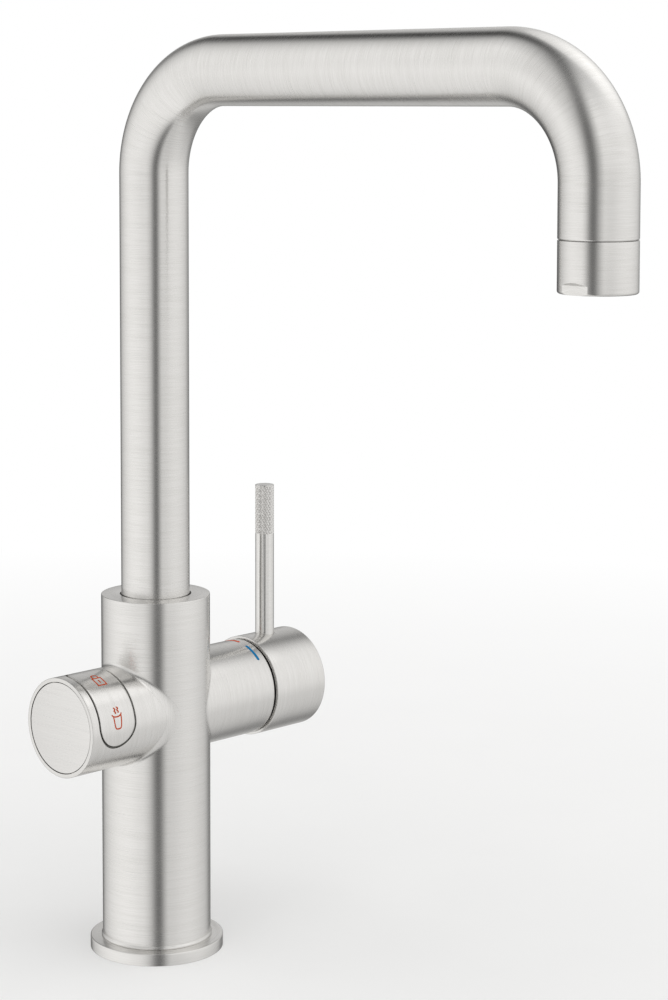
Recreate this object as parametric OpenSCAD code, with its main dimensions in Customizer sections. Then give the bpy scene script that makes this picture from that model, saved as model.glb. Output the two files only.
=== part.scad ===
// Boiling water tap with a swivelling square-shouldered spout, a mixer lever
// on the right-hand side and a push-button control on the left-hand side.
// Origin: centre of the underside of the base flange. The spout points
// towards -Y, the button control towards -X and the mixer lever towards +X.

/* [Column] */
// Diameter of the column
column_d = 44.6; // [44.2:0.1:46]
// Height of the top of the column above the worktop
column_top = 147.4; // [146.8:0.2:170]
// Radius of the bore that takes the waterway block
column_bore_r = 18.4; // [18.2:0.1:18.8]
// Height of the axis shared by the mixer lever and the button control
cross_z = 100.3; // [90:0.1:101]
// Diameter of the base flange
flange_d = 54.8; // [53:0.1:64]
// Thickness of the base flange
flange_h = 5.0; // [4:0.1:8]
// Radius of the thread in the base that takes the fixing shank
shank_r = 15.7; // [15:0.1:16.4]
// Length of the thread in the base
shank_length = 24; // [16:1:30]
// Radius of the three hose threads in the waterway block
hose_thread_r = 4.46; // [4:0.02:4.6]
// Depth of the three hose threads
hose_thread_length = 12; // [8:1:20]

/* [Spout] */
// Diameter of the spout pipe
pipe_d = 28; // [27.4:0.1:28.4]
// Wall of the spout pipe
pipe_wall = 1.5; // [1:0.1:1.8]
// Distance from the column axis to the outlet axis
spout_reach = 225; // [160:1:260]
// Height of the axis of the level part of the spout
spout_z = 360.4; // [356:0.2:420]
// Bend radius above the column
column_bend_r = 41; // [36:0.5:60]
// Bend radius above the outlet
outlet_bend_r = 40; // [36:0.5:42]
// Drop from the axis of the level part to the joint between pipe and outlet sleeve
sleeve_drop = 58.9; // [58:0.1:64]
// Length of the outlet sleeve
sleeve_length = 18.6; // [17.8:0.1:24]

/* [Button control] */
// Diameter of the housing of the button control
control_d = 40.0; // [39.6:0.1:41]
// Distance from the column axis to the end of the button control
control_end = 51.4; // [50.8:0.1:60]
// Width of the button plate along the housing
button_w = 17.7; // [15:0.1:18]
// Distance from the end of the housing to the button plate
button_inset = 4.4; // [4.2:0.1:4.8]
// Angle from upright to the middle of the button plate, towards the front
button_tilt = 45; // [30:1:60]
// Half the angle that the button plate covers
button_half_angle = 63; // [56:1:66]
// Gap round the button plate
button_gap = 0.75; // [0.5:0.05:0.8]

/* [Mixer lever] */
// Diameter of the mixer housing
mixer_d = 39.9; // [39.6:0.1:40.2]
// Distance from the column axis to the end of the mixer housing
mixer_end = 49.2; // [48.8:0.1:49.4]
// Diameter of the lever cap
cap_d = 42; // [41.8:0.1:44]
// Gap between mixer housing and lever cap
cap_gap = 1.0; // [0.8:0.1:1.4]
// Distance from the column axis to the far end of the lever cap
cap_end = 78.8; // [77:0.1:86]
// Diameter of the lever pin
lever_d = 8; // [6:0.1:9]
// Distance from the column axis to the lever pin
lever_x = 62.94; // [62.6:0.02:64]
// Height of the top of the lever pin above the cross axis
lever_top = 85.1; // [60:0.1:110]
// Diameter of the ceramic cartridge
cartridge_d = 28.2; // [28:0.1:28.4]
// Distance from the column axis to the lever pivot
pivot_x = 33.2; // [33:0.1:33.3]

/* [Clearances] */
// Gap of a running fit, on the radius
run_gap = 0.05; // [0.02:0.01:0.08]
// Gap between pieces that are fixed together, on the radius
fixed_gap = 0.1; // [0.05:0.01:0.12]
// Gap between faces that rest on each other
face_gap = 0.05; // [0.02:0.01:0.08]
// Gap between pieces that pass each other
free_gap = 0.5; // [0.4:0.05:0.6]

/* [Hidden] */
$fn = 96;

// Overrun of every cut past the face that it opens
cut = 1;

// Radii of the main round pieces
column_r = column_d / 2;
flange_r = flange_d / 2;
pipe_r = pipe_d / 2;
control_r = control_d / 2;
mixer_r = mixer_d / 2;
cap_r = cap_d / 2;
cartridge_r = cartridge_d / 2;
lever_r = lever_d / 2;

// Column and its foot
edge = 0.4;
foot_bead = 0.5;
foot_bead_h = 0.8;
neck_depth = 29.4;
collar_depth = 14.4;
seal_bore_step = 0.5;
collar_gap = 0.6;
seal_bore_r = pipe_r - seal_bore_step;
collar_r = pipe_r + collar_gap;
neck_floor = column_top - neck_depth;
neck_step = column_top - collar_depth;
socket_r = column_bore_r - fixed_gap;
flange_bore_r = column_bore_r + fixed_gap;
gasket_w = 4.5;
gasket_h = 1.5;
gasket_r = (flange_bore_r + flange_r) / 2;

// Waterway block: each place is [x, y]
block_foot = shank_length + face_gap;
block_head = neck_floor - face_gap;
channel_r = 2.2;
seat_x = 5;
hot_place = [-4, -8.5];
cold_place = [-4, 8.5];
boiling_place = [-9.5, 0];
mixed_place = [1.6, 12];
port_circle_r = 7;
port_rise = 30;
riser_r = 3.4;
riser_bore_r = 2.2;
riser_seat = 5.8;
riser_reach = 10.5;
riser_foot = neck_floor - riser_seat;
riser_top = neck_floor + riser_reach;
cable_w = 5;
cable_depth = 3.8;
cable_drop = 8;

// Small seals: radius of the ring's middle and of its section
riser_seal_mid = 3.6;
riser_seal_section = 0.6;
riser_seal_drop = 3.5;
seal_groove_gap = 0.1;
port_seal_mid = 3.2;
port_seal_section = 0.55;

// Swivel of the spout in the column
swivel_angle = 75;
stop_margin = 1;
washer_h = 0.7;
pipe_foot = neck_step + washer_h + 2 * face_gap;
spigot_r = seal_bore_r - run_gap;
spigot_foot = neck_floor + free_gap;
spigot_plug = 16;
spigot_plug_r = pipe_r - pipe_wall - fixed_gap;
spigot_bore_r = 4.3;
mixed_hole_r = 2.2;
mixed_hole_circle_r = 8.2;
mixed_holes = 4;
spigot_seal_section = 0.85;
spigot_seal_rises = [2.7, 12.4];
stop_groove_low = 5.4;
stop_groove_h = 4.2;
stop_groove_depth = 2.2;
stop_screw_r = 2.5;
stop_nose_r = 1.8;
stop_nose_gap = 0.4;
hex_r = 1.4;
hex_depth = 2;
stop_z = neck_floor + stop_groove_low + stop_groove_h / 2;
stop_floor_r = spigot_r - stop_groove_depth;
stop_half_angle = swivel_angle + stop_margin + asin(stop_nose_r / stop_floor_r);

// Tube for boiling water inside the spout
tube_r = 3.4;
tube_bore_r = 2.4;
tube_lift = 1.5;
tube_foot = riser_top + tube_lift;
tube_end_rise = 7.6;

// Outlet
sleeve_top = spout_z - sleeve_drop;
outlet_z = sleeve_top - sleeve_length;
groove_h = 0.3;
adapter_r = pipe_r - pipe_wall - fixed_gap;
adapter_bore_r = 9.5;
adapter_up = 11.5;
adapter_down = 10.4;
adapter_collar_inset = 0.7;
sleeve_bore_r = pipe_r - pipe_wall;
sleeve_lip = 2.2;
aerator_r = pipe_r - sleeve_lip - fixed_gap;
aerator_wall = 1.4;
aerator_lip = 0.7;
aerator_lip_h = 1;
aerator_lift = 0.6;
aerator_seal_h = 1.3;
aerator_top = sleeve_top - adapter_down - aerator_seal_h - 2 * face_gap;
screen_h = 1.4;
screen_hole_r = 0.7;
screen_pitch = 2.1;
nozzle_r = 4.4;
nozzle_up = 12;
flat_distance = 13;
flat_h = 3.3;
sleeve_edge = 0.8;

// Button control
control_wall = 3.7;
control_rim = 1.6;
control_bore_r = control_r - control_wall;
rim_bore_r = control_r - control_rim;
rim_depth = 2.5;
control_floor = 25;
end_disc_h = 1.4;
end_disc_inset = 0.15;
end_disc_gap = 0.3;
end_disc_edge = 0.2;
end_boss_inset = 2.2;
end_seal_section = 0.45;
plate_h = 1.5;
plate_end_extra = 0.15;
plate_end_r = button_w / 2 + plate_end_extra;
plate_end_angle = button_half_angle - asin(plate_end_r / control_r);
plate_in_r = control_r - plate_h;
button_x = -(control_end - button_inset - button_w / 2);
hinge_drop = 2.4;
hinge_r = control_r - hinge_drop;
hinge_pin_r = 0.6;
hinge_eye_r = 1.15;
hinge_eye_w = 3;
hinge_eye_offset = 5.5;
hinge_end = button_x + button_w / 2 + hinge_eye_w;
membrane_h = 0.65;
membrane_angle = 170;
membrane_lap = 1.0;
carrier_gap = 0.8;
carrier_r = control_bore_r - carrier_gap;
carrier_wall = 1.2;
carrier_shelf = 4.9;
board_h = 1.6;
board_w = 24;
board_margin = 1;
switch_w = 5;
switch_h = 3.4;
switch_offset = 8.5;
stem_r = 1.2;
stem_h = 2.4;
foot_r = 1.5;
socket_block = [5, 8, 3];

// Mixer cartridge and lever
nut_step = 3.1;
mouth_step = 1.3;
nut_bore_r = cartridge_r + nut_step;
mouth_r = nut_bore_r + mouth_step;
shoulder_x = 30;
mouth_x = 43.5;
cartridge_foot_gap = 1.2;
cartridge_foot = seat_x + cartridge_foot_gap;
cartridge_flange_h = 3;
cartridge_base_h = 2.8;
cartridge_wall = 2.6;
cartridge_bore_r = cartridge_r - cartridge_wall;
port_hole_r = 2;
fixed_disc_h = 3;
moving_disc_h = 2.9;
moving_disc_r = 7.5;
disc_pocket_r = 4.6;
disc_pocket_h = 1.8;
nut_end = 41;
nut_hole_r = 12;
rotor_end = 40;
stem_arm = 14.8;
lever_swing = 20;
disc_offset = stem_arm * sin(lever_swing) / 2;
ball_r = 1.9;
ball_gap = 0.2;
stem_neck_r = 1.5;
shaft_r = 3.5;
pivot_r = 1.5;
pivot_eye_r = 3.6;
pivot_end_gap = 0.3;
carrier_half = 6;
carrier_gap_side = 0.15;
slot_half_w = 3.8;
slot_half_h = 7;
dome_r = 25.3;
dome_wall = 1.4;
dome_lip_r = 19.2;
dome_open_angle = 30.5;
dome_skirt_wall = 1.2;
dome_skirt_in = 1.3;
cap_rim_wall = 1.4;
cap_wall = 3;
dome_clearance = 0.9;
cap_step_x = pivot_x + dome_r + dome_clearance;
hub_gap = 0.2;
hub_bore_end = 2.6;
stud_r = 2.5;
stud_depth = 9.5;
grub_r = 2.5;
grub_offset = 4.2;
grub_length = 9;

fixed_disc_x = cartridge_foot + cartridge_base_h + face_gap;
moving_disc_x = fixed_disc_x + fixed_disc_h + face_gap;
carrier_x = moving_disc_x + moving_disc_h + face_gap;
ball_x = pivot_x - stem_arm;
carrier_end = ball_x + ball_r + ball_gap;
disc_gap = 0.3;
disc_r = cartridge_bore_r - disc_gap;
rotor_r = cartridge_bore_r - run_gap;

// Turned solid about the X axis from a profile of [radius, x] points
module turned_x(profile) {
    rotate([0, 90, 0])
        rotate_extrude()
            polygon(profile);
}

// Rod along X between two places
module x_rod(r, x0, x1, y = 0, z = 0) {
    translate([x0, y, z])
        rotate([0, 90, 0])
            cylinder(r = r, h = x1 - x0);
}

// Rod along Y between two places
module y_rod(r, y0, y1, x = 0, z = 0) {
    translate([x, y1, z])
        rotate([90, 0, 0])
            cylinder(r = r, h = y1 - y0);
}

// Rod along Z between two heights
module z_rod(r, z0, z1, x = 0, y = 0) {
    translate([x, y, z0])
        cylinder(r = r, h = z1 - z0);
}

// Ring about Z between two heights
module z_ring(r_in, r_out, z0, z1) {
    translate([0, 0, z0])
        rotate_extrude()
            translate([r_in, 0])
                square([r_out - r_in, z1 - z0]);
}

// Ring about X between two places
module x_ring(r_in, r_out, x0, x1) {
    turned_x([[r_in, x0], [r_out, x0], [r_out, x1], [r_in, x1]]);
}

// Seal ring about Z, lying at the origin
module seal_ring(mid, section) {
    rotate_extrude($fn = 48)
        translate([mid, 0])
            circle(r = section, $fn = 24);
}

// Frame of the cross axis, which runs along X through the column
module on_cross_axis() {
    translate([0, 0, cross_z])
        children();
}

// Frame whose Z axis points out through the middle of the button plate
module on_button() {
    on_cross_axis()
        rotate([button_tilt, 0, 0])
            children();
}

// Arc of a ring about X, centred on Z, with its middle at x
module ring_arc(r_in, r_out, width, half_angle, x) {
    translate([x, 0, 0])
        rotate([0, -90, 0])
            rotate([0, 0, -half_angle])
                rotate_extrude(angle = 2 * half_angle)
                    translate([r_in, -width / 2])
                        square([r_out - r_in, width]);
}

// Round-ended patch of the control housing, grown all round by a margin
module button_patch(grow, r_in, r_out) {
    intersection() {
        ring_arc(r_in, r_out, button_w + 2 * grow, 85, button_x);
        union() {
            ring_arc(r_in - cut, r_out + cut, button_w + 2 * grow + cut, plate_end_angle, button_x);
            for (side = [-1, 1])
                rotate([side * plate_end_angle, 0, 0])
                    z_rod(plate_end_r + grow, r_in / 2, r_out + cut, button_x, 0);
        }
    }
}

// Places of the three ports in the cartridge base, as [y, z] from the axis
function port_place(angle) = [port_circle_r * cos(angle), port_circle_r * sin(angle)];
port_places = [port_place(port_rise), port_place(180 - port_rise), port_place(270)];

// Fixed pieces of the column

module column_shell() {
    body_h = column_top - flange_h;
    color("#c8c5bf")
        difference() {
            translate([0, 0, flange_h])
                rotate_extrude()
                    polygon([
                        [0, 0],
                        [column_r + foot_bead, 0],
                        [column_r + foot_bead, foot_bead_h],
                        [column_r, foot_bead_h + foot_bead],
                        [column_r, body_h - edge],
                        [column_r - edge, body_h],
                        [0, body_h]
                    ]);
            z_rod(column_bore_r, flange_h - cut, neck_floor);
            z_rod(seal_bore_r, neck_floor - cut, column_top + cut);
            z_rod(collar_r, neck_step, column_top + cut);
            y_rod(stop_screw_r + fixed_gap, 0, column_r + cut, 0, stop_z);
            on_cross_axis() {
                x_rod(cable_w / 2, -column_r - cut, 0, 0, -cable_drop);
                x_rod(cartridge_r + fixed_gap, 0, column_r + cut);
            }
        }
}

// Housing turned about the cross axis, from the column out to its end at x
module side_housing(r, end) {
    side = sign(end);
    difference() {
        turned_x([[0, 0], [r, 0], [r, end - side * edge], [r - edge, end], [0, end]]);
        z_rod(column_r + face_gap, -column_r, column_r);
        children();
    }
}

module control_housing() {
    color("#c8c5bf")
        difference() {
            on_cross_axis()
                side_housing(control_r, -control_end) {
                    x_rod(control_bore_r, -control_end - cut, -control_floor);
                    x_rod(rim_bore_r, -control_end - cut, -control_end + rim_depth);
                    x_rod(cable_w / 2, -control_floor - cut, 0, 0, -cable_drop);
                }
            on_button() {
                button_patch(button_gap, control_bore_r - 2 * cut, control_r + cut);
                x_rod(hinge_pin_r + run_gap, -control_end, hinge_end, 0, hinge_r);
            }
        }
}

module mixer_housing() {
    color("#c8c5bf")
        on_cross_axis()
            side_housing(mixer_r, mixer_end) {
                x_rod(cartridge_r + fixed_gap, 0, mixer_end + cut);
                x_rod(nut_bore_r, shoulder_x, mixer_end + cut);
                x_rod(mouth_r, mouth_x, mixer_end + cut);
            }
}

module base_flange() {
    color("#c8c5bf")
        difference() {
            rotate_extrude()
                polygon([
                    [flange_bore_r, 0],
                    [flange_r, 0],
                    [flange_r, flange_h - edge],
                    [flange_r - edge, flange_h],
                    [flange_bore_r, flange_h]
                ]);
            z_ring(gasket_r - gasket_w / 2, gasket_r + gasket_w / 2, -cut, gasket_h);
        }
}

module base_gasket() {
    color("#2a2a2a")
        z_ring(
            gasket_r - gasket_w / 2 + fixed_gap, gasket_r + gasket_w / 2 - fixed_gap,
            0, gasket_h - face_gap
        );
}

module shank_socket() {
    color("#b5964f")
        z_ring(shank_r, socket_r, 0, shank_length);
}

module waterway_block() {
    color("#b5964f")
        difference() {
            z_rod(socket_r, block_foot, block_head);
            on_cross_axis()
                x_rod(cartridge_r + fixed_gap, seat_x, column_r);
            for (place = [hot_place, cold_place, boiling_place])
                z_rod(hose_thread_r, block_foot - cut, block_foot + hose_thread_length, place.x, place.y);
            for (i = [0, 1]) {
                place = [cold_place, hot_place][i];
                port = port_places[i];
                z_rod(channel_r, block_foot, cross_z + port.y, place.x, place.y);
                on_cross_axis()
                    x_rod(channel_r, place.x, seat_x + cut, port.x, port.y);
            }
            on_cross_axis()
                x_rod(channel_r, mixed_place.x, seat_x + cut, port_places[2].x, port_places[2].y);
            y_rod(channel_r, 0, mixed_place.y, mixed_place.x, cross_z + port_places[2].y);
            z_rod(channel_r, cross_z + port_places[2].y, block_head + cut, mixed_place.x, mixed_place.y);
            z_rod(channel_r, block_foot, riser_foot - channel_r, boiling_place.x, boiling_place.y);
            x_rod(channel_r, boiling_place.x, 0, 0, riser_foot - channel_r);
            z_rod(riser_r + fixed_gap, riser_foot - 2 * channel_r, block_head + cut);
            translate([-column_r, -cable_w / 2, block_foot - cut])
                cube([
                    column_r - socket_r + cable_depth,
                    cable_w,
                    cross_z - cable_drop + cable_w - block_foot
                ]);
        }
}

module boiling_riser() {
    color("#d8d5cf")
        difference() {
            z_rod(riser_r, riser_foot, riser_top);
            z_rod(riser_bore_r, riser_foot - cut, riser_top + cut);
            z_ring(
                riser_seal_mid - riser_seal_section - run_gap, riser_r + cut,
                riser_top - riser_seal_drop - riser_seal_section - seal_groove_gap,
                riser_top - riser_seal_drop + riser_seal_section + seal_groove_gap
            );
        }
}

module riser_seal() {
    color("#2a2a2a")
        translate([0, 0, riser_top - riser_seal_drop])
            seal_ring(riser_seal_mid, riser_seal_section);
}

module glide_ring() {
    color("#3a3a3c")
        z_ring(pipe_r + run_gap, collar_r - run_gap, pipe_foot, column_top - 2 * edge);
}

module thrust_washer() {
    color("#e8e4da")
        z_ring(seal_bore_r + fixed_gap, collar_r - fixed_gap, neck_step + face_gap, neck_step + washer_h);
}

module swivel_stop_screw() {
    color("#9a9a9a")
        difference() {
            union() {
                y_rod(stop_screw_r, spigot_r + free_gap, column_r - free_gap, 0, stop_z);
                y_rod(stop_nose_r, stop_floor_r + stop_nose_gap, spigot_r + free_gap + cut, 0, stop_z);
            }
            translate([0, column_r - free_gap + cut, stop_z])
                rotate([90, 0, 0])
                    cylinder(r = hex_r, h = hex_depth + cut, $fn = 6);
        }
}

// Fixed pieces of the mixer cartridge

module cartridge_body() {
    floor_x = cartridge_foot + cartridge_base_h;
    flange_x = shoulder_x + cartridge_flange_h;
    color("#f0efe9")
        on_cross_axis()
            difference() {
                turned_x([
                    [0, cartridge_foot],
                    [cartridge_r, cartridge_foot],
                    [cartridge_r, shoulder_x + face_gap],
                    [nut_bore_r - fixed_gap, shoulder_x + face_gap],
                    [nut_bore_r - fixed_gap, flange_x],
                    [0, flange_x]
                ]);
                x_rod(cartridge_bore_r, floor_x, flange_x + cut);
                for (port = port_places)
                    x_rod(channel_r, cartridge_foot - cut, floor_x + cut, port.x, port.y);
            }
}

module cartridge_seals() {
    color("#2a2a2a")
        on_cross_axis()
            for (port = port_places)
                translate([(seat_x + cartridge_foot) / 2, port.x, port.y])
                    rotate([0, 90, 0])
                        seal_ring(port_seal_mid, port_seal_section);
}

module fixed_disc() {
    end_x = fixed_disc_x + fixed_disc_h;
    color("#f6f6f2")
        on_cross_axis()
            difference() {
                x_rod(disc_r, fixed_disc_x, end_x);
                for (port = port_places)
                    x_rod(port_hole_r, fixed_disc_x - cut, end_x + cut, port.x, port.y);
            }
}

module cartridge_nut() {
    color("#b5964f")
        on_cross_axis()
            x_ring(nut_hole_r, nut_bore_r - fixed_gap, shoulder_x + cartridge_flange_h + face_gap, nut_end);
}

module dome_cover() {
    skirt_r = mouth_r - fixed_gap;
    rim_angle = 90 - dome_open_angle;
    color("#2e2e30")
        on_cross_axis()
            rotate([0, 90, 0])
                rotate_extrude() {
                    intersection() {
                        translate([0, pivot_x])
                            difference() {
                                circle(r = dome_r);
                                circle(r = dome_r - dome_wall);
                            }
                        translate([0, mixer_end + face_gap])
                            square([dome_lip_r, dome_r]);
                        translate([0, pivot_x])
                            polygon([
                                [0, 0],
                                [2 * dome_r * cos(rim_angle), 2 * dome_r * sin(rim_angle)],
                                [2 * dome_r, 2 * dome_r],
                                [2 * dome_r, 0]
                            ]);
                    }
                    translate([skirt_r - dome_skirt_wall, mouth_x + face_gap])
                        square([dome_skirt_wall, mixer_end + dome_skirt_in - mouth_x - face_gap]);
                }
}

// Fixed pieces of the button control

module end_cap() {
    disc_r = rim_bore_r - end_disc_gap;
    face_x = -control_end + end_disc_inset;
    color("#cfccc6")
        on_cross_axis()
            turned_x([
                [0, face_x],
                [disc_r - end_disc_edge, face_x],
                [disc_r, face_x + end_disc_edge],
                [disc_r, face_x + end_disc_h],
                [rim_bore_r - end_boss_inset, face_x + end_disc_h],
                [rim_bore_r - end_boss_inset, -control_end + rim_depth - face_gap],
                [0, -control_end + rim_depth - face_gap]
            ]);
}

module end_cap_seal() {
    color("#2a2a2a")
        on_cross_axis()
            translate([-control_end + (end_disc_inset + end_disc_h + rim_depth) / 2, 0, 0])
                rotate([0, 90, 0])
                    seal_ring(rim_bore_r - end_boss_inset / 2, end_seal_section);
}

module button_membrane() {
    color("#37373a")
        on_button()
            ring_arc(
                control_bore_r - face_gap - membrane_h, control_bore_r - face_gap,
                button_w + 2 * (button_gap + membrane_lap) - 2 * face_gap, membrane_angle / 2, button_x
            );
}

module button_pivot_pin() {
    color("#d8d5cf")
        on_button()
            x_rod(hinge_pin_r, -control_end + rim_depth + face_gap, hinge_end - 2 * face_gap, 0, hinge_r);
}

module control_carrier() {
    color("#3c3c40")
        on_button()
            difference() {
                x_rod(carrier_r, -control_end + rim_depth + face_gap, -control_floor - face_gap);
                translate([-control_end + rim_depth + carrier_wall, -control_r, carrier_shelf])
                    cube([
                        control_end - rim_depth - control_floor - 2 * carrier_wall,
                        control_d,
                        control_r
                    ]);
            }
}

module control_board() {
    length = control_end - rim_depth - control_floor - 2 * (carrier_wall + board_margin);
    start_x = -control_end + rim_depth + carrier_wall + board_margin;
    color("#2f6b43")
        on_button()
            translate([start_x, -board_w / 2, carrier_shelf + face_gap])
                cube([length, board_w, board_h]);
}

module tactile_switches() {
    board_top = carrier_shelf + face_gap + board_h;
    color("#4a4a4e")
        on_button()
            for (side = [-1, 1])
                translate([button_x, side * switch_offset, board_top + face_gap]) {
                    translate([-switch_w / 2, -switch_w / 2, 0])
                        cube([switch_w, switch_w, switch_h]);
                    cylinder(r = stem_r, h = switch_h + stem_h);
                }
}

module cable_socket() {
    color("#efefe9")
        on_button()
            translate([
                -control_floor - carrier_wall - board_margin - socket_block.x,
                -socket_block.y / 2,
                carrier_shelf + board_h + 2 * face_gap
            ])
                cube(socket_block);
}

// Pieces that turn with the temperature setting

module cartridge_rotor() {
    fork_half = carrier_half + carrier_gap_side;
    color("#e9e6dc")
        on_cross_axis()
            difference() {
                x_rod(rotor_r, carrier_x, rotor_end);
                translate([carrier_end + face_gap - cut, -slot_half_w, -slot_half_h])
                    cube([rotor_end - carrier_end + 2 * cut, 2 * slot_half_w, 2 * slot_half_h]);
                translate([carrier_x - cut, -fork_half, -cartridge_r])
                    cube([carrier_end - carrier_x + cut + face_gap, 2 * fork_half, cartridge_d]);
                y_rod(pivot_r + run_gap, -cartridge_r, cartridge_r, pivot_x, 0);
            }
}

module lever_pivot_pin() {
    color("#b9b9b9")
        on_cross_axis()
            y_rod(pivot_r, -cartridge_bore_r + pivot_end_gap, cartridge_bore_r - pivot_end_gap, pivot_x, 0);
}

module moving_disc() {
    color("#f6f6f2")
        on_cross_axis()
            difference() {
                x_rod(moving_disc_r, moving_disc_x, moving_disc_x + moving_disc_h, 0, -disc_offset);
                x_rod(disc_pocket_r, moving_disc_x - cut, moving_disc_x + disc_pocket_h, 0, -disc_offset);
            }
}

module disc_carrier() {
    color("#d9d4c6")
        on_cross_axis()
            difference() {
                translate([carrier_x, -carrier_half, -disc_offset - carrier_half])
                    cube([carrier_end - carrier_x, 2 * carrier_half, 2 * carrier_half]);
                translate([ball_x - ball_r - ball_gap, -ball_r - ball_gap, -ball_r - ball_gap])
                    cube([3 * ball_r, 2 * (ball_r + ball_gap), 2 * (ball_r + ball_gap)]);
            }
}

// Pieces that tilt with the lever

module lever_stem() {
    shaft_end = cap_end - cap_wall - hub_bore_end;
    color("#b9b9b9")
        on_cross_axis()
            difference() {
                union() {
                    translate([ball_x, 0, 0])
                        sphere(r = ball_r, $fn = 48);
                    x_rod(stem_neck_r, ball_x, pivot_x - pivot_r);
                    y_rod(pivot_eye_r, -shaft_r, shaft_r, pivot_x, 0);
                    x_rod(shaft_r - run_gap, pivot_x, shaft_end - face_gap);
                }
                y_rod(pivot_r + run_gap, -cartridge_r, cartridge_r, pivot_x, 0);
            }
}

module lever_hub() {
    hub_r = cap_r - cap_wall - fixed_gap;
    color("#8f8f8c")
        on_cross_axis()
            difference() {
                x_rod(hub_r, cap_step_x + hub_gap, cap_end - cap_wall - face_gap);
                x_rod(shaft_r + run_gap, cap_step_x, cap_end - cap_wall - hub_bore_end);
                z_rod(stud_r + run_gap, hub_r - stud_depth, cap_r, lever_x, 0);
                z_rod(grub_r + run_gap, -cap_r, 0, lever_x + grub_offset, 0);
            }
}

module lever_cap() {
    color("#c8c5bf")
        on_cross_axis()
            difference() {
                turned_x([
                    [0, mixer_end + cap_gap],
                    [cap_r - edge, mixer_end + cap_gap],
                    [cap_r, mixer_end + cap_gap + edge],
                    [cap_r, cap_end - 2 * edge],
                    [cap_r - 2 * edge, cap_end],
                    [0, cap_end]
                ]);
                x_rod(cap_r - cap_rim_wall, mixer_end + cap_gap - cut, cap_step_x);
                x_rod(cap_r - cap_wall, cap_step_x - cut, cap_end - cap_wall);
                z_rod(lever_r + run_gap, 0, cap_r + cut, lever_x, 0);
                z_rod(grub_r + fixed_gap, -cap_r - cut, 0, lever_x + grub_offset, 0);
            }
}

module lever_pin() {
    hub_r = cap_r - cap_wall - fixed_gap;
    color("#c8c5bf")
        on_cross_axis()
            translate([lever_x, 0, 0])
                rotate_extrude()
                    polygon([
                        [0, hub_r - stud_depth + face_gap],
                        [stud_r, hub_r - stud_depth + face_gap],
                        [stud_r, cap_r - cap_wall + face_gap],
                        [lever_r, cap_r - cap_wall + face_gap],
                        [lever_r, lever_top - edge],
                        [lever_r - edge, lever_top],
                        [0, lever_top]
                    ]);
}

module lever_grub_screw() {
    foot_z = -shaft_r - face_gap - grub_length;
    color("#6e6e70")
        on_cross_axis()
            translate([lever_x + grub_offset, 0, foot_z])
                difference() {
                    cylinder(r = grub_r, h = grub_length);
                    translate([0, 0, -cut])
                        cylinder(r = hex_r, h = hex_depth + cut, $fn = 6);
                }
}

// Pieces that turn with the spout

// Rod that follows the axis of the spout from one height to another
module spout_rod(r, foot, end) {
    run_start = column_bend_r;
    run_end = spout_reach - outlet_bend_r;
    z_rod(r, foot, spout_z - column_bend_r);
    translate([0, -column_bend_r, spout_z - column_bend_r])
        rotate([90, 0, 90])
            rotate_extrude(angle = 90)
                translate([column_bend_r, 0])
                    circle(r = r);
    y_rod(r, -run_end, -run_start, 0, spout_z);
    translate([0, -run_end, spout_z - outlet_bend_r])
        rotate([90, 0, 90])
            rotate([0, 0, 90])
                rotate_extrude(angle = 90)
                    translate([outlet_bend_r, 0])
                        circle(r = r);
    z_rod(r, end, spout_z - outlet_bend_r, 0, -spout_reach);
}

// Frame of the outlet, upright over the outlet axis
module on_outlet() {
    translate([0, -spout_reach, 0])
        children();
}

module spout_pipe() {
    color("#c8c5bf")
        difference() {
            spout_rod(pipe_r, pipe_foot, sleeve_top);
            spout_rod(pipe_r - pipe_wall, pipe_foot - cut, sleeve_top - cut);
        }
}

module spout_spigot() {
    plug_top = pipe_foot + spigot_plug;
    color("#b5964f")
        difference() {
            union() {
                z_rod(spigot_r, spigot_foot, pipe_foot - face_gap);
                z_rod(spigot_plug_r, pipe_foot - cut, plug_top);
            }
            for (rise = spigot_seal_rises)
                z_ring(
                    spigot_r - 2 * spigot_seal_section - run_gap, spigot_r + cut,
                    neck_floor + rise - spigot_seal_section - seal_groove_gap,
                    neck_floor + rise + spigot_seal_section + seal_groove_gap
                );
            z_rod(spigot_bore_r, spigot_foot - cut, riser_top + free_gap);
            z_rod(tube_r + run_gap, riser_top, plug_top + cut);
            for (i = [0:mixed_holes - 1])
                rotate([0, 0, 360 / mixed_holes * i])
                    z_rod(mixed_hole_r, spigot_foot - cut, plug_top + cut, mixed_hole_circle_r, 0);
            translate([0, 0, neck_floor + stop_groove_low])
                rotate([0, 0, 90 - stop_half_angle])
                    rotate_extrude(angle = 2 * stop_half_angle)
                        translate([stop_floor_r, 0])
                            square([stop_groove_depth + cut, stop_groove_h]);
        }
}

module spigot_seals() {
    color("#2a2a2a")
        for (rise = spigot_seal_rises)
            translate([0, 0, neck_floor + rise])
                seal_ring(spigot_r - spigot_seal_section, spigot_seal_section);
}

module boiling_tube() {
    color("#e4e1da")
        difference() {
            spout_rod(tube_r, tube_foot, outlet_z + tube_end_rise);
            spout_rod(tube_bore_r, tube_foot - cut, outlet_z + tube_end_rise - cut);
        }
}

module outlet_adapter() {
    collar_r = pipe_r - adapter_collar_inset;
    color("#b5964f")
        on_outlet()
            difference() {
                union() {
                    z_rod(adapter_r, sleeve_top - adapter_down, sleeve_top + adapter_up);
                    z_rod(collar_r, sleeve_top - groove_h + face_gap, sleeve_top - face_gap);
                }
                z_rod(adapter_bore_r, sleeve_top - adapter_down - cut, sleeve_top + adapter_up + cut);
            }
}

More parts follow.
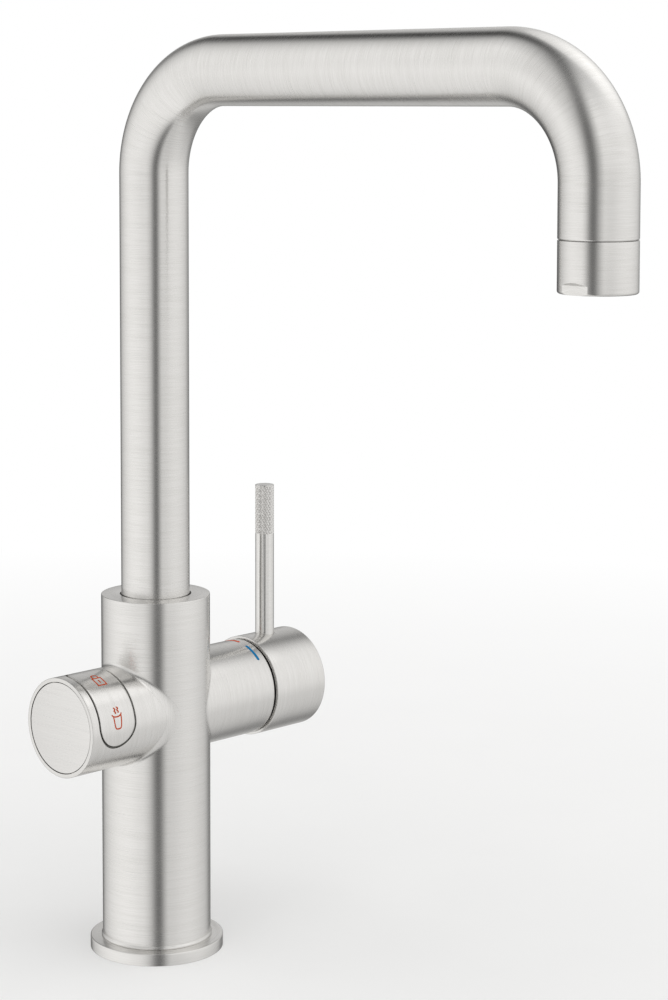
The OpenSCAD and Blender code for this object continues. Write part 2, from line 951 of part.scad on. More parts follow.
module outlet_sleeve() {
    color("#c8c5bf")
        on_outlet()
            difference() {
                translate([0, 0, outlet_z])
                    rotate_extrude()
                        polygon([
                            [pipe_r - sleeve_lip, 0],
                            [pipe_r - sleeve_edge, 0],
                            [pipe_r, sleeve_edge],
                            [pipe_r, sleeve_length - groove_h],
                            [sleeve_bore_r, sleeve_length - groove_h],
                            [sleeve_bore_r, sleeve_length - adapter_down - face_gap],
                            [pipe_r - sleeve_lip, sleeve_length - adapter_down - face_gap]
                        ]);
                for (side = [0, 180])
                    rotate([0, 0, side])
                        translate([0, pipe_r, outlet_z])
                            rotate([90, 0, 0])
                                linear_extrude(pipe_d)
                                    polygon([
                                        [flat_distance, -cut],
                                        [pipe_r + cut, -cut],
                                        [pipe_r + cut, flat_h + pipe_r + cut - flat_distance],
                                        [flat_distance, flat_h]
                                    ]);
            }
}

module aerator_body() {
    color("#d6d6d4")
        on_outlet()
            difference() {
                z_rod(aerator_r, outlet_z + aerator_lift, aerator_top);
                z_rod(aerator_r - aerator_wall, outlet_z + aerator_lift + aerator_lip_h, aerator_top + cut);
                z_rod(aerator_r - aerator_wall - aerator_lip, outlet_z, aerator_top + cut);
            }
}

module aerator_screen() {
    screen_z = outlet_z + aerator_lift + aerator_lip_h + face_gap;
    screen_top = screen_z + screen_h;
    color("#8a8d90")
        on_outlet()
            difference() {
                z_rod(aerator_r - aerator_wall - fixed_gap, screen_z, screen_top);
                z_rod(nozzle_r + run_gap, screen_z - cut, screen_top + cut);
                for (ring = [3, 4])
                    for (i = [0:6 * ring - 1])
                        rotate([0, 0, 60 / ring * i])
                            z_rod(screen_hole_r, screen_z - cut, screen_top + cut, ring * screen_pitch, 0);
            }
}

module aerator_seal() {
    color("#2a2a2a")
        on_outlet()
            z_ring(
                aerator_r - aerator_wall - aerator_lip, aerator_r,
                aerator_top + face_gap, sleeve_top - adapter_down - face_gap
            );
}

module boiling_nozzle() {
    color("#3a3a3c")
        on_outlet()
            difference() {
                z_rod(nozzle_r, outlet_z + aerator_lift + aerator_lip_h, outlet_z + nozzle_up);
                z_rod(tube_bore_r, outlet_z, outlet_z + nozzle_up);
                z_rod(tube_r + run_gap, outlet_z + tube_end_rise - face_gap, outlet_z + nozzle_up + cut);
            }
}

// Rocking button plate

module button_plate() {
    color("#c8c5bf")
        on_button()
            difference() {
                union() {
                    button_patch(0, plate_in_r, control_r);
                    intersection() {
                        ring_arc(control_bore_r + 4 * fixed_gap, plate_in_r + edge, button_w, 60, button_x);
                        union() {
                            for (side = [-1, 1]) {
                                z_rod(foot_r, 0, control_r, button_x, side * switch_offset);
                                translate([button_x + side * hinge_eye_offset - hinge_eye_w / 2, 0, 0])
                                    x_rod(hinge_eye_r, 0, hinge_eye_w, 0, hinge_r);
                            }
                        }
                    }
                }
                x_rod(hinge_pin_r + run_gap, button_x - button_w, button_x + button_w, 0, hinge_r);
            }
}

column_shell();
control_housing();
mixer_housing();
base_flange();
base_gasket();
shank_socket();
waterway_block();
boiling_riser();
riser_seal();
glide_ring();
thrust_washer();
swivel_stop_screw();
cartridge_body();
cartridge_seals();
fixed_disc();
cartridge_nut();
dome_cover();
end_cap();
end_cap_seal();
button_membrane();
button_pivot_pin();
control_carrier();
control_board();
tactile_switches();
cable_socket();
cartridge_rotor();
lever_pivot_pin();
moving_disc();
disc_carrier();
lever_stem();
lever_hub();
lever_cap();
lever_pin();
lever_grub_screw();
spout_pipe();
spout_spigot();
spigot_seals();
boiling_tube();
outlet_adapter();
outlet_sleeve();
aerator_body();
aerator_screen();
aerator_seal();
boiling_nozzle();
button_plate();
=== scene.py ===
"""Boiling water tap in brushed stainless steel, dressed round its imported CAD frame.

Lengths in this file are millimetres until a mesh is written, which is in metres.
Turned parts stand about an upright axis (column, outlet or lever pin) or about the
cross axis, which carries the button control and the lever.
"""
from __future__ import annotations

import logging
import math
from dataclasses import dataclass
from enum import Enum

import bmesh
import bpy
import numpy as np
from mathutils import Matrix, Vector

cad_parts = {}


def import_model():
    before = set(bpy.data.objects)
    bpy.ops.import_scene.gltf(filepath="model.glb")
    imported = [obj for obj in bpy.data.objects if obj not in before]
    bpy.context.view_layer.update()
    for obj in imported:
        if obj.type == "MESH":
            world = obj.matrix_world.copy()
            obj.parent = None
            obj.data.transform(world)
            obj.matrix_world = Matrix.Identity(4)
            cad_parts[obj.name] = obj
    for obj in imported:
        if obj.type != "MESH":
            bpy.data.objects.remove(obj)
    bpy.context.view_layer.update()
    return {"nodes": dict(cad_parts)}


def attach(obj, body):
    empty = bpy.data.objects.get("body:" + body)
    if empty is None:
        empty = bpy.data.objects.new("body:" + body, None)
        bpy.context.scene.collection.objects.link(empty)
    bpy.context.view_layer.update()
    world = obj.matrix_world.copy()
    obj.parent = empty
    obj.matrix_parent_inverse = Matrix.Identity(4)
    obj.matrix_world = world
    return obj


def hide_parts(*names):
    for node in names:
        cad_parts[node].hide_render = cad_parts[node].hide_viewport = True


LOG = logging.getLogger("tap")
Array = np.ndarray
Piece = bpy.types.Object
Paint = bpy.types.Material
Socket = bpy.types.NodeSocket
Colour = tuple[float, float, float]
Point = tuple[float, float, float]

MM = 0.001
TURN = 2.0 * math.pi
SHARP = math.radians(32.0)
WELD = 1e-8
CROSS_Z = 100.3
COLUMN_SEAT = 22.35
GRAIN_R = 20.0


class Axis(Enum):
    """The line that a part is turned about; an upright one has its foot as value."""

    COLUMN = (0.0, 0.0)
    OUTLET = (0.0, -225.0)
    LEVER = (62.94, 0.0)
    CROSS = "cross"


def place(axis: Axis, axial: Array, radius: Array, angle: Array) -> Array:
    """Places points given as distance along an axis, radius and angle.

    About the cross axis the angle runs from the top towards the front; about an
    upright axis it runs from +X towards +Y.

    Args:
        axis: The axis turned about.
        axial: Distance along the axis, in mm.
        radius: Distance from the axis, in mm.
        angle: Angle in radians.

    Returns:
        Points with a last dimension of three, in mm.
    """
    axial, radius, angle = np.broadcast_arrays(axial, radius, angle)
    if axis is Axis.CROSS:
        return np.stack([axial, -radius * np.sin(angle), CROSS_Z + radius * np.cos(angle)], -1)
    x, y = axis.value
    return np.stack([x + radius * np.cos(angle), y + radius * np.sin(angle), axial], -1)


def rounded(corners: list[tuple[float, ...]], steps: int = 5) -> Array:
    """Rounds the corners of an open profile.

    A rounded corner is a quadratic curve from a point before it to one after it,
    each at the rounding distance.

    Args:
        corners: Each (axial, radius), or (axial, radius, rounding distance).
        steps: Points on each rounded corner.

    Returns:
        The profile as rows of (axial, radius).
    """
    points = np.array([corner[:2] for corner in corners], float)
    rows: list[Array] = []
    t = np.linspace(0.0, 1.0, steps)[:, None]
    for i, (point, corner) in enumerate(zip(points, corners)):
        if len(corner) == 2:
            rows.append(point[None])
            continue
        before, after = points[i - 1] - point, points[i + 1] - point
        start, end = (point + way / np.linalg.norm(way) * corner[2] for way in (before, after))
        rows.append((1 - t) ** 2 * start + 2 * t * (1 - t) * point + t**2 * end)
    return np.concatenate(rows)


@dataclass
class Patch:
    """A grid of surface points, with its UV and the coordinates of its brushing."""

    points: Array
    uv: Array
    grain: Array


@dataclass
class Skin:
    """Patches that meet edge to edge and become one closed mesh."""

    patches: list[Patch]

    def mesh(self, name: str, sharp: float = SHARP) -> Piece:
        """Welds the patches and writes them to a mesh object.

        Points that round to the same 10 nanometres become one. A quad with two
        equal corners becomes a triangle, so poles close.

        Args:
            name: The piece's name.
            sharp: Angle in radians past which an edge is shown sharp.

        Returns:
            The new object, linked and at the origin.
        """
        quads, start = [], 0
        for patch in self.patches:
            n, m = patch.points.shape[:2]
            index = start + np.arange(n * m).reshape(n, m)
            around = (index[:-1, :-1], index[1:, :-1], index[1:, 1:], index[:-1, 1:])
            quads.append(np.stack(around, -1).reshape(-1, 4))
            start += n * m
        raw, uv, grain = (
            np.concatenate([getattr(patch, key).reshape(-1, size) for patch in self.patches]) * MM
            for key, size in (("points", 3), ("uv", 2), ("grain", 3))
        )
        quad = np.concatenate(quads)
        _, first, weld = np.unique(np.round(raw / WELD), axis=0, return_index=True, return_inverse=True)
        corner = weld.reshape(-1)[quad]
        kept = corner != np.roll(corner, -1, 1)
        solid = kept.sum(1) >= 3
        kept &= solid[:, None]
        ends = np.cumsum(kept.sum(1)[solid])
        mesh = bpy.data.meshes.new(name)
        mesh.vertices.add(len(first))
        mesh.vertices.foreach_set("co", raw[first].astype(np.float32).ravel())
        mesh.loops.add(int(ends[-1]))
        mesh.loops.foreach_set("vertex_index", corner[kept].astype(np.int32))
        mesh.polygons.add(len(ends))
        mesh.polygons.foreach_set("loop_start", np.concatenate([[0], ends[:-1]]).astype(np.int32))
        mesh.update(calc_edges=True)
        layer = mesh.uv_layers.new(name="brush")
        layer.uv.foreach_set("vector", uv[quad[kept]].astype(np.float32).ravel())
        lines = mesh.attributes.new("grain", "FLOAT_VECTOR", "POINT")
        lines.data.foreach_set("vector", grain[first].astype(np.float32).ravel())
        work = bmesh.new()
        work.from_mesh(mesh)
        bmesh.ops.recalc_face_normals(work, faces=work.faces)
        open_edges = sum(len(edge.link_faces) != 2 for edge in work.edges)
        work.to_mesh(mesh)
        work.free()
        mesh.shade_smooth()
        mesh.set_sharp_from_angle(angle=sharp)
        if open_edges:
            LOG.warning("%s has %d open edges", name, open_edges)
        piece = bpy.data.objects.new(name, mesh)
        bpy.context.scene.collection.objects.link(piece)
        return piece


def wrapped(points: Array, angle: Array, along: Array, across: Array | None = None) -> Patch:
    """Makes a patch whose brushing lines run round its axis.

    The grain is (k cos a, k sin a, distance) with one k for the whole tap, so the
    lines run round sides and end faces.

    Args:
        points: The grid of points.
        angle: Their angles in radians.
        along: Their distances across the lines, in mm.
        across: The second UV coordinate, where it isn't that distance.

    Returns:
        The patch.
    """
    angle, along = np.broadcast_arrays(angle, along)
    second = along if across is None else np.broadcast_to(across, along.shape)
    grain = np.stack([GRAIN_R * np.cos(angle), GRAIN_R * np.sin(angle), along], -1)
    return Patch(points, np.stack([angle * GRAIN_R, second], -1), grain)


def dressed(axis: Axis, axial: Array, radius: Array, angle: Array) -> Patch:
    """Makes a patch from grids of axial distance, radius and angle.

    Args:
        axis: The axis turned about.
        axial: Distances along the axis.
        radius: Radii.
        angle: Angles in radians.

    Returns:
        The patch.
    """
    axial, radius, angle = np.broadcast_arrays(axial, radius, angle)
    return wrapped(place(axis, axial, radius, angle), angle, axial + radius)


def turned(axis: Axis, profile: Array | list[tuple[float, float]], angles: Array) -> Patch:
    """Turns a profile about an axis.

    Args:
        axis: The axis turned about.
        profile: Rows of (axial, radius), or of (axial, radius) per angle.
        angles: Angles in radians.

    Returns:
        The patch.
    """
    rows = np.asarray(profile, float)
    rows = rows if rows.ndim == 3 else rows[:, None]
    return dressed(axis, rows[..., 0], rows[..., 1], angles)


@dataclass(frozen=True)
class Window:
    """An opening in a round wall: a stadium drawn round a spine, or a round hole."""

    axial: float
    angle: float
    radius: float
    half_spine: float = 0.0
    margin: float = 0.06
    bevel: float = 0.15

    def limits(self, wall: float) -> tuple[float, float]:
        """Works out the angles that the opening lies between.

        Args:
            wall: Radius of the wall.

        Returns:
            The lower and the upper angle, with the margin.
        """
        reach = self.half_spine + math.asin(self.radius / wall) + self.margin
        return self.angle - reach, self.angle + reach

    def outline(self, x: Array, a: Array, scale: float, wall: float, grow: float) -> tuple[Array, Array]:
        """Finds the outline point that faces each given point of the wall.

        The nearest point of the spine is found, and the outline lies at the radius
        from it in the direction of the given point, seen along the opening.

        Args:
            x: Axial distances of the given points.
            a: Angles of the given points.
            scale: Radius that turns angles into lengths when directions are taken.
            wall: Radius of the wall that the outline lies on.
            grow: Added to the opening's radius.

        Returns:
            Axial distances and angles of the outline points.
        """
        spine = np.clip(a, self.angle - self.half_spine, self.angle + self.half_spine)
        dx, ds = x - self.axial, (a - spine) * scale
        length = np.hypot(dx, ds)
        reach = self.radius + grow
        turn = np.arcsin(np.clip(reach * ds / length / wall, -1, 1))
        return self.axial + reach * dx / length, spine + turn


def shared_angles(windows: list[Window], inner: float, step: float) -> Array:
    """Lists angles for a whole turn that include the limits of every window.

    Args:
        windows: The openings.
        inner: Radius of the inner wall, where an opening spans most.
        step: Largest step in radians.

    Returns:
        Angles from the first window's lower limit to the same plus one turn.
    """
    marks = [mark for w in sorted(windows, key=lambda w: w.angle) for mark in w.limits(inner)]
    marks.append(marks[0] + TURN)
    runs = [
        np.linspace(a, b, max(2, math.ceil((b - a) / step) + 1))[:-1]
        for a, b in zip(marks[:-1], marks[1:])
    ]
    return np.concatenate([*runs, [marks[-1]]])


def walled_band(
    axis: Axis, outer: float, inner: float, ends: tuple[float, float],
    angles: Array, windows: list[Window], rows: int = 24, rings: int = 7,
) -> list[Patch]:
    """Makes both walls of a band of a tube, with openings through it.

    Round each opening the wall is a fan: a point of the rectangle that bounds the
    opening is joined by a straight line, in axial distance and angle, to the outline
    point that faces it.

    Args:
        axis: The axis turned about.
        outer: Outer radius.
        inner: Inner radius.
        ends: Where the band starts and ends along the axis.
        angles: The whole turn's angles, as from shared_angles.
        windows: The openings in this band.
        rows: Points along the band beside an opening.
        rings: Rings from the opening to its rectangle.

    Returns:
        The patches of both walls and of the openings' sides.
    """
    patches: list[Patch] = []
    axial, beside = np.linspace(*ends, rows), np.ones(rows - 2)
    mix = np.linspace(0.0, 1.0, rings)[:, None] ** 1.6
    cut = 0
    for w in sorted(windows, key=lambda w: w.angle):
        low, high = (int(np.argmin(np.abs(angles - limit))) for limit in w.limits(inner))
        if low > cut:
            patches += [dressed(axis, axial[:, None], r, angles[cut : low + 1]) for r in (outer, inner)]
        cut, span = high, angles[low : high + 1]
        flat = np.ones(len(span))
        loop_x = np.concatenate([ends[0] * flat, axial[1:-1], ends[1] * flat, axial[-2:0:-1], ends[:1]])
        loop_a = np.concatenate([span, span[-1] * beside, span[::-1], span[0] * beside, span[:1]])
        wall = np.array([outer, outer - 0.3 * w.bevel, outer - w.bevel, inner])
        grow = (w.bevel, 0.3 * w.bevel, 0.0, 0.0)
        side = np.array([w.outline(loop_x, loop_a, outer, r, g) for r, g in zip(wall, grow)])
        front, back = (
            dressed(axis, x + (loop_x - x) * mix, r, a + (loop_a - a) * mix)
            for (x, a), r in ((side[0], outer), (side[-1], inner))
        )
        patches += [front, dressed(axis, side[:, 0], wall[:, None], side[:, 1]), back]
    if cut < len(angles) - 1:
        patches += [dressed(axis, axial[:, None], r, angles[cut:]) for r in (outer, inner)]
    return patches


def whole_turn(steps: int) -> Array:
    """Angles of a whole turn in equal steps."""
    return np.linspace(0.0, TURN, steps + 1)


# Finishes


class Nodes:
    """Builds the nodes of a material or of the world."""

    def __init__(self, owner: Paint | bpy.types.World) -> None:
        """Turns the owner's nodes on."""
        owner.use_nodes = True
        self.owner, self.tree = owner, owner.node_tree

    def fill(self, node: bpy.types.Node, **values: object) -> bpy.types.Node:
        """Sets a node's properties and inputs, or links its inputs.

        Args:
            node: The node.
            **values: Properties, or inputs with an underscore for each space; in0,
                in1 and so on name an input by its place. An output is linked.

        Returns:
            The node.
        """
        for key, value in values.items():
            if hasattr(node, key):
                setattr(node, key, value)
                continue
            socket = node.inputs[int(key[2:]) if key[:2] == "in" else key.replace("_", " ")]
            if isinstance(value, Socket):
                self.tree.links.new(value, socket)
            else:
                socket.default_value = value
        return node

    def add(self, kind: str, output: str | int = 0, **values: object) -> Socket:
        """Adds a node and fills it.

        Args:
            kind: The node's type without its ShaderNode prefix.
            output: Name or place of the output wanted.
            **values: As for fill.

        Returns:
            That output.
        """
        return self.fill(self.tree.nodes.new(f"ShaderNode{kind}"), **values).outputs[output]

    def dress(self, **values: object) -> Paint:
        """Fills the Principled shader and returns the material."""
        self.fill(self.tree.nodes["Principled BSDF"], **values)
        return self.owner

    def coords(self) -> Socket:
        """The object's own coordinates."""
        return self.add("TexCoord", "Object")

    def grain(self) -> Socket:
        """The brushing's coordinates, kept on the mesh."""
        return self.add("Attribute", "Vector", attribute_name="grain")

    def first_grain(self) -> Socket:
        """The first of the coordinates kept on the mesh."""
        return self.add("SeparateXYZ", "X", in0=self.grain())

    def noise(
        self, coords: Socket, scale: float, detail: float = 2.0, rough: float = 0.5, stretch: Point | None = None
    ) -> Socket:
        """Adds a noise, drawn out where its coordinates are scaled unevenly.

        Args:
            coords: The coordinates.
            scale: The noise's scale.
            detail: Its detail.
            rough: Its roughness.
            stretch: Scale of each coordinate, if any.

        Returns:
            The noise's value.
        """
        if stretch:
            coords = self.add("Mapping", Vector=coords, Scale=stretch)
        return self.add("TexNoise", "Fac", Vector=coords, Scale=scale, Detail=detail, Roughness=rough)

    def spread(self, value: Socket, low: float, high: float, start: float = 0.3, end: float = 0.7) -> Socket:
        """Maps a value from start to end onto low to high."""
        return self.add("MapRange", Value=value, From_Min=start, From_Max=end, To_Min=low, To_Max=high)

    def ramp(self, value: Socket, stops: list[tuple[float, Colour]], curve: str = "CARDINAL") -> Socket:
        """Maps a value onto a ramp of colours.

        Args:
            value: The value.
            stops: Place and colour of each stop, the first and last at the ends.
            curve: How the ramp goes between its stops.

        Returns:
            The colour.
        """
        node = self.tree.nodes.new("ShaderNodeValToRGB")
        node.color_ramp.interpolation = curve
        for position, _ in stops[1:-1]:
            node.color_ramp.elements.new(position)
        for element, (position, colour) in zip(node.color_ramp.elements, stops):
            element.position, element.color = position, (*colour, 1.0)
        return self.fill(node, Fac=value).outputs["Color"]

    def colours(self, value: Socket, low: Colour, high: Colour) -> Socket:
        """Maps a value from 0.3 to 0.7 onto two colours."""
        return self.ramp(value, [(0.3, low), (0.7, high)], "LINEAR")

    def bump(self, value: Socket, depth: float, strength: float = 1.0) -> Socket:
        """The normal of a bump of that depth in metres."""
        return self.add("Bump", "Normal", Height=value, Strength=strength, Distance=depth)


@dataclass(frozen=True)
class Finish:
    """A finish by its name and its two shades."""

    name: str
    low: Colour
    high: Colour

    def nodes(self) -> Nodes:
        """Starts the finish's material."""
        return Nodes(bpy.data.materials.new(self.name))


@dataclass(frozen=True)
class Brushed(Finish):
    """Brushed stainless steel, with fine lines across the third grain coordinate."""

    low: Colour = (0.735, 0.725, 0.705)
    high: Colour = (0.785, 0.775, 0.76)
    roughness: float = 0.25
    spread: float = 0.04
    along: float = 60.0
    across: float = 4200.0
    depth: float = 0.0000008
    stretch: float = 0.7
    broad_along: float = 0.4
    broad_across: float = 0.22
    broad_share: float = 0.45
    wear_scale: float = 28.0

    def build(self) -> Paint:
        """Builds the material.

        Two noises, each drawn out along the brushing and fine across it, set the
        colour, the roughness and the bump.

        Returns:
            The material.
        """
        n = self.nodes()
        grain = n.grain()
        fine = n.noise(grain, 1.0, 3.0, 0.6, (self.along, self.along, self.across))
        along, across = self.along * self.broad_along, self.across * self.broad_across
        broad = n.noise(grain, 1.0, stretch=(along, along, across))
        share = n.spread(fine, 0.05, 0.6)
        lines = n.add("Math", operation="MULTIPLY_ADD", in0=broad, in1=self.broad_share, in2=share)
        rough = n.spread(lines, self.roughness + self.spread, self.roughness - self.spread)
        worn = n.spread(n.noise(grain, self.wear_scale), -0.015, 0.02)
        return n.dress(
            Base_Color=n.colours(lines, self.low, self.high),
            Roughness=n.add("Math", operation="ADD", in0=rough, in1=worn),
            Metallic=1.0, Anisotropic=self.stretch, Anisotropic_Rotation=0.25,
            Tangent=n.add("Tangent", direction_type="UV_MAP", uv_map="brush"),
            Normal=n.bump(lines, self.depth),
        )


@dataclass(frozen=True)
class Machined(Finish):
    """A machined or cast metal, dressed from the object's own coordinates."""

    roughness: float = 0.3
    scale: Point = (60.0, 60.0, 1400.0)
    depth: float = 0.00001

    def build(self) -> Paint:
        """Builds the material from tool marks and a faint cloud of stain.

        Returns:
            The material.
        """
        n = self.nodes()
        coords = n.coords()
        marks = n.noise(coords, 1.0, 3.0, 0.6, self.scale)
        return n.dress(
            Base_Color=n.colours(n.noise(coords, 90.0, 3.0), self.low, self.high),
            Roughness=n.spread(marks, self.roughness - 0.07, self.roughness + 0.1),
            Metallic=1.0, Normal=n.bump(marks, self.depth),
        )


@dataclass(frozen=True)
class Moulded(Finish):
    """Moulded plastic, rubber or ceramic, with a fine surface grain."""

    roughness: float = 0.45
    grain: float = 2600.0
    depth: float = 0.00002
    shine: float = 0.5

    def build(self) -> Paint:
        """Builds the material from a fine grain and a slow change of shade.

        Returns:
            The material.
        """
        n = self.nodes()
        coords = n.coords()
        slow = n.noise(coords, 70.0, 3.0)
        return n.dress(
            Base_Color=n.colours(slow, self.low, self.high),
            Roughness=n.spread(slow, self.roughness - 0.06, self.roughness + 0.08),
            Specular_IOR_Level=self.shine, Normal=n.bump(n.noise(coords, self.grain), self.depth, 0.6),
        )


@dataclass(frozen=True)
class Ink(Finish):
    """Baked enamel ink of the marks, with faint mottling from the steel under it."""

    def build(self) -> Paint:
        """Builds the ink from one fine speckle.

        Returns:
            The material.
        """
        n = self.nodes()
        speck = n.noise(n.coords(), 5200.0)
        return n.dress(
            Base_Color=n.colours(speck, self.low, self.high), Roughness=n.spread(speck, 0.5, 0.65),
            Specular_IOR_Level=0.08, Normal=n.bump(speck, 0.000008, 0.5),
        )


@dataclass(frozen=True)
class PrintedBoard(Finish):
    """Circuit board with a pattern of copper tracks under the lacquer."""

    def build(self) -> Paint:
        """Builds the board from the edges of cells, which stand for tracks.

        Returns:
            The material.
        """
        n = self.nodes()
        edge = n.add("TexVoronoi", "Distance", feature="DISTANCE_TO_EDGE", Scale=620.0, Vector=n.coords())
        track = n.spread(edge, 0.7, 0.3, 0.03, 0.08)
        return n.dress(
            Base_Color=n.colours(track, self.low, self.high), Roughness=0.3, Normal=n.bump(track, 0.00003, 0.6)
        )


# Sub-assemblies


def finish(piece: Piece, material: Paint, body: str, node: str = "") -> Piece:
    """Gives a piece its material and its body, and hides the CAD node it stands for.

    Args:
        piece: The piece.
        material: Its material.
        body: The CAD body it moves with.
        node: The CAD node it stands for, if any.

    Returns:
        The same piece.
    """
    piece.data.materials.append(material)
    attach(piece, body)
    if node:
        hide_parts(node)
    return piece


def seat_x(radius: Array, angle: Array, side: float, column_r: float = COLUMN_SEAT) -> Array:
    """Where a line along the cross axis meets the column.

    The column is x squared plus y squared = its radius squared, and y is minus the
    radius times the sine of the angle.

    Args:
        radius: Distance of the line from the cross axis.
        angle: Its angle about the cross axis.
        side: 1 for the lever side, -1 for the button side.
        column_r: Radius of the column.

    Returns:
        The x of each meeting point.
    """
    return side * np.sqrt(np.maximum(column_r**2 - (radius * np.sin(angle)) ** 2, 0.0))


@dataclass
class Column:
    """The upright body: shell, base flange and the blends round both housings."""

    steel: Paint
    radius: float = 22.3
    foot: float = 5.0
    top: float = 147.4
    bore: float = 18.4
    bead: float = 0.5
    bead_h: float = 0.8
    neck_floor: float = 118.0
    neck_bore: float = 13.5
    collar_bore: float = 14.6
    collar_step: float = 133.0
    side_band: tuple[float, float] = (83.0, 117.0)
    neck_band: tuple[float, float] = (121.0, 130.0)
    flange_r: float = 27.4
    flange_bore: float = 18.5
    groove_w: float = 4.5
    groove_h: float = 1.5
    cartridge_hole: float = 14.2
    screw_z: float = 125.5
    screw_hole: float = 2.6
    cable_z: float = 92.3
    cable_hole: float = 2.5
    limit_r: float = 14.5
    lift: float = 0.012
    blend_sink: float = 0.6
    blend_sink_at: float = 20.0

    def shell(self) -> Piece:
        """Builds the shell: a tube with its neck, foot bead and side openings.

        Returns:
            The new object.
        """
        low = [Window(CROSS_Z, 0.0, self.cartridge_hole), Window(self.cable_z, math.pi, self.cable_hole)]
        high = [Window(self.screw_z, math.pi / 2, self.screw_hole, bevel=0.25)]
        angles = shared_angles(low + high, self.limit_r, TURN / 240)
        r, bore, neck, foot = self.radius, self.bore, self.neck_bore, self.foot
        (low_start, low_end), (high_start, high_end) = self.side_band, self.neck_band
        crest, step = foot + self.bead_h, self.collar_step
        profiles = [
            rounded([(foot, bore), (foot, r + self.bead, 0.25), (crest, r + self.bead, 0.35),
                     (crest + self.bead, r, 0.2), (low_start, r)]),
            [(low_end, r), (high_start, r)],
            rounded([(high_end, r), (self.top, r, 0.35), (self.top, self.collar_bore, 0.2), (step, self.collar_bore),
                     (step, neck), (high_end, neck)]),
            [(high_start, neck), (self.neck_floor, neck), (self.neck_floor, bore), (low_end, bore)],
            [(low_start, bore), (foot, bore)],
        ]
        return Skin([
            *(turned(Axis.COLUMN, profile, angles) for profile in profiles),
            *walled_band(Axis.COLUMN, r, bore, self.side_band, angles, low, 60, 9),
            *walled_band(Axis.COLUMN, r, neck, self.neck_band, angles, high, 16),
        ]).mesh("column_tube")

    def flange(self) -> Piece:
        """Builds the base flange with its rounded rim and the gasket's groove.

        Returns:
            The new object.
        """
        middle, half = (self.flange_bore + self.flange_r) / 2, self.groove_w / 2
        profile = rounded(
            [(0.0, middle + half), (0.0, self.flange_r, 0.25), (self.foot, self.flange_r, 0.55),
             (self.foot, self.flange_bore), (0.0, self.flange_bore), (0.0, middle - half),
             (self.groove_h, middle - half), (self.groove_h, middle + half), (0.0, middle + half)],
        )
        return Skin([turned(Axis.COLUMN, profile, whole_turn(320))]).mesh("base_flange_ring")

    def fillet(self, name: str, side: float, housing_r: float, on_side: float, on_column: float) -> Piece:
        """Builds the blend between the column and a side housing.

        At each angle about the cross axis a quadratic curve runs from a point on the
        housing to one on the column, with the line where they meet as its control
        point, so it leaves both surfaces along them. The back lies just inside both.

        Args:
            name: The piece's name.
            side: 1 for the lever side, -1 for the button side.
            housing_r: Radius of the housing.
            on_side: Width of the blend on the housing.
            on_column: Width of the blend on the column.

        Returns:
            The new object.
        """
        angle = whole_turn(360)
        meet_x = seat_x(housing_r, angle, side, self.radius)
        meet = place(Axis.CROSS, meet_x, housing_r, angle)
        first = place(Axis.CROSS, meet_x + side * on_side, housing_r + self.lift, angle)
        wide, column_r = housing_r + on_column, self.radius + self.lift
        around = np.arcsin(np.clip(wide * np.sin(angle) / column_r, -1, 1))
        last = np.stack(
            [side * column_r * np.cos(around), -column_r * np.sin(around), CROSS_Z + wide * np.cos(angle)], -1
        )
        t = np.linspace(0.0, 1.0, 15)[:, None, None]
        front = (1 - t) ** 2 * first + 2 * t * (1 - t) * meet + t**2 * last
        deep = meet - self.blend_sink * (meet - np.array([0.0, 0.0, CROSS_Z])) / self.blend_sink_at
        points = np.concatenate([front, deep[None], first[None]])
        rows = np.linspace(0.0, 5.0, len(points))[:, None]
        return Skin([wrapped(points, angle, meet_x + housing_r + rows, rows)]).mesh(name, math.radians(50.0))

    def build(self) -> list[Piece]:
        """Builds the column's pieces.

        Returns:
            The pieces.
        """
        return [
            finish(self.shell(), self.steel, "root", "column_shell"),
            finish(self.flange(), self.steel, "root", "base_flange"),
            finish(self.fillet("button_side_blend", -1.0, 20.0, 2.4, 1.5), self.steel, "root"),
            finish(self.fillet("lever_side_blend", 1.0, 19.95, 1.0, 0.6), self.steel, "root"),
        ]


def stroke(
    path: Array, width: float, wall: float, rise: float = 0.035, sink: float = 0.03,
    end_reach: float = 0.35, end_share: float = 0.55,
) -> Patch:
    """Lays a thin line of ink on a wall about the cross axis.

    The path is in (axial, arc) lengths. Its left and right edges lie half the width
    away along the normal of the path, and the section is a flat box from just under
    the wall to the rise over it. Its first and last rings shrink to points.

    Args:
        path: Points of the middle line, in mm.
        width: Width of the line.
        wall: Radius of the wall.
        rise: Height of the ink over the wall.
        sink: Its depth under the wall.
        end_reach: How far each end stands out, as a share of the width.
        end_share: Share of the width that is left at each end.

    Returns:
        A closed patch.
    """
    step = np.gradient(path, axis=0)
    step /= np.maximum(np.linalg.norm(step, axis=1, keepdims=True), 1e-9)
    normal = np.stack([-step[:, 1], step[:, 0]], 1) * width / 2
    at = np.array([0, 0, *range(len(path)), -1, -1])
    slide, share = np.zeros((len(at), 1)), np.ones((len(at), 1))
    slide[:2], slide[-2:] = -1.0, 1.0
    share[[0, -1]], share[[1, -2]] = 0.0, end_share
    middle, reach = path[at] + slide * (step * width * end_reach)[at], normal[at] * share
    low, high = wall - sink, wall + rise
    rings: list[tuple[Array, Array, Array]] = []
    for side, height in ((1, high), (-1, high), (-1, low), (1, low), (1, high)):
        radius = np.full(len(at), height)
        radius[[0, -1]] = (low + high) / 2
        rings.append((middle[:, 0] + side * reach[:, 0], radius, (middle[:, 1] + side * reach[:, 1]) / wall))
    return dressed(Axis.CROSS, *np.stack(rings, -1))


